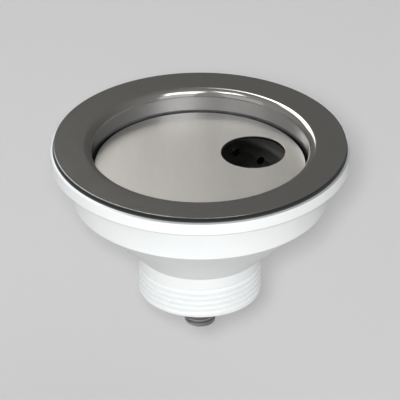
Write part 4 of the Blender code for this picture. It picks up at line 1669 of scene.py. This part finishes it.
@dataclass
class Studio:
    """The camera, the pale floor, the lamps and the world."""

    aim: Vector = field(default_factory=lambda: Vector((-0.05, -10.7, -17.1)) * MM)
    camera_elevation: float = math.radians(30)
    view_width: float = 155.2 * MM
    lens_mm: float = 1400.0
    sensor_mm: float = 36.0
    view_depth: float = 20.0
    floor_drop: float = 150.0 * MM
    floor_radius: float = 12.0
    floor_level: float = 0.634
    floor_bounce_share: float = 0.757
    floor_roughness: float = 0.9
    paper_grain: float = 0.8 * MM
    paper_detail: float = 2.0
    paper_grain_share: float = 0.01
    key_strength: float = 2.2
    key_spread: float = math.radians(1.9)
    key_left: float = math.radians(0.65)
    key_up: float = math.radians(0.45)
    room_towards: tuple[float, float, float] = (-0.5, -0.8, 0.3)
    room_span: Point = (-0.75, 0.65)
    room_levels: Point = (0.12, 0.34)
    # Each panel's name, azimuth, elevation, distance, width, height and radiance.
    panels: tuple[Panel, ...] = (
        Panel("front_right", math.radians(22), math.radians(54), FAR, 1.6, 1.5, 2.4),
        Panel("front_left", math.radians(-49), math.radians(65), FAR, 1.02, 0.84, 2.4),
        Panel("back_left", math.radians(180 + 25), math.radians(40), NEAR, 0.345, 0.33, 2.35),
        Panel("back", math.radians(180 + 11), math.radians(46), NEAR, 0.15, 0.19, 2.35),
        Panel("right_reflector", math.radians(24), math.radians(22), FAR, 2.0, 2.3, 0.42),
        Panel("left_reflector", math.radians(-46), math.radians(24), FAR, 2.4, 2.3, 0.24),
        Panel("side_left", math.radians(-85), math.radians(38), FAR, 2.0, 0.6, 3.6, mirrored=False),
    )

    @property
    def camera_distance(self) -> float:
        """How far the camera stands back to see the view's width."""
        return self.view_width * self.lens_mm / self.sensor_mm

    def build(self, floor_level: float) -> None:
        """Sets up the studio.

        Args:
            floor_level: The height of the object's lowest point.
        """
        scene = bpy.context.scene
        scene.view_settings.view_transform = "Standard"
        self.add_camera()
        self.add_floor(floor_level - self.floor_drop)
        self.add_key()
        for panel in self.panels:
            panel.light(self.aim)
        self.add_world()

    def add_camera(self) -> None:
        """Puts the camera at the photograph's viewing angle."""
        data = bpy.data.cameras.new("camera")
        data.lens = self.lens_mm
        data.sensor_width = self.sensor_mm
        data.clip_end = self.view_depth
        way = way_to(0.0, self.camera_elevation)
        bpy.context.scene.camera = add_facing(data, self.aim, way, self.camera_distance)

    def add_floor(self, level: float) -> None:
        """Lays the plain pale floor.

        Args:
            level: Its height.
        """
        bm = bmesh.new()
        bmesh.ops.create_circle(bm, cap_ends=True, radius=self.floor_radius, segments=WIDE_SIDES)
        bmesh.ops.translate(bm, verts=bm.verts, vec=(0, 0, level))
        floor = add_object("floor", bm)
        graph = MaterialGraph("floor_paper")
        paper = graph.noise(graph.place(), 1 / self.paper_grain, self.paper_detail)
        pale = (self.floor_level,) * 3
        dark = (self.floor_level * (1 - self.paper_grain_share),) * 3
        bouncing = (self.floor_level * self.floor_bounce_share,) * 3
        ray = graph.add("ShaderNodeLightPath", {}).outputs
        mirrored = graph.math("MAXIMUM", ray["Is Glossy Ray"], ray["Is Transmission Ray"])
        seen = graph.math("MAXIMUM", ray["Is Camera Ray"], mirrored)
        printed = graph.mixed(paper, pale, dark)
        graph.feed(graph.shader.inputs["Base Color"], graph.mixed(seen, bouncing, printed))
        graph.shader.inputs["Roughness"].default_value = self.floor_roughness
        graph.shader.inputs["Specular IOR Level"].default_value = 0.0
        floor.data.materials.append(graph.material)
        floor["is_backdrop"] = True

    def add_key(self) -> None:
        """Hangs the key lamp close to the camera's line, a little to the left of it and above."""
        data = bpy.data.lights.new("key", "AREA")
        data.shape = "DISK"
        data.size = self.camera_distance * self.key_spread
        data.energy = self.key_strength * math.pi * self.camera_distance ** 2
        way = way_to(-self.key_left, self.camera_elevation + self.key_up)
        lamp = add_facing(data, self.aim, way, self.camera_distance)
        lamp.visible_camera = False
        lamp.visible_glossy = False

    def add_world(self) -> None:
        """Makes the room: dim behind the drain and to its right, paler in front and to its left."""
        world = bpy.data.worlds.new("studio")
        bpy.context.scene.world = world
        world.use_nodes = True
        nodes, links = world.node_tree.nodes, world.node_tree.links
        place = nodes.new("ShaderNodeTexCoord")
        side = nodes.new("ShaderNodeVectorMath")
        side.operation = "DOT_PRODUCT"
        side.inputs[1].default_value = self.room_towards
        level = nodes.new("ShaderNodeMapRange")
        for socket, value in zip(list(level.inputs)[1:], (*self.room_span, *self.room_levels)):
            socket.default_value = value
        links.new(place.outputs["Generated"], side.inputs[0])
        links.new(side.outputs["Value"], level.inputs["Value"])
        links.new(level.outputs[0], nodes["Background"].inputs["Color"])


def main() -> None:
    """Loads the frame, builds and dresses each sub-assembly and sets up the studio."""
    logging.basicConfig(level=logging.INFO, format="%(message)s")
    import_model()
    solid_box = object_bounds()
    materials = {finish.slot: finish.material() for finish in FINISHES}
    for assembly in (FlangeCup(), WasteBody(), ClampScrew(), SpringSleeve(), Strainer(), CoverPlate()):
        for piece in assembly.build():
            assembly.dress(piece, materials)
            log.info("%s stands for %s on %s", piece.obj.name, piece.node, assembly.body.value)
    Studio().build(solid_box[0].z)


if __name__ == "__main__":
    main()
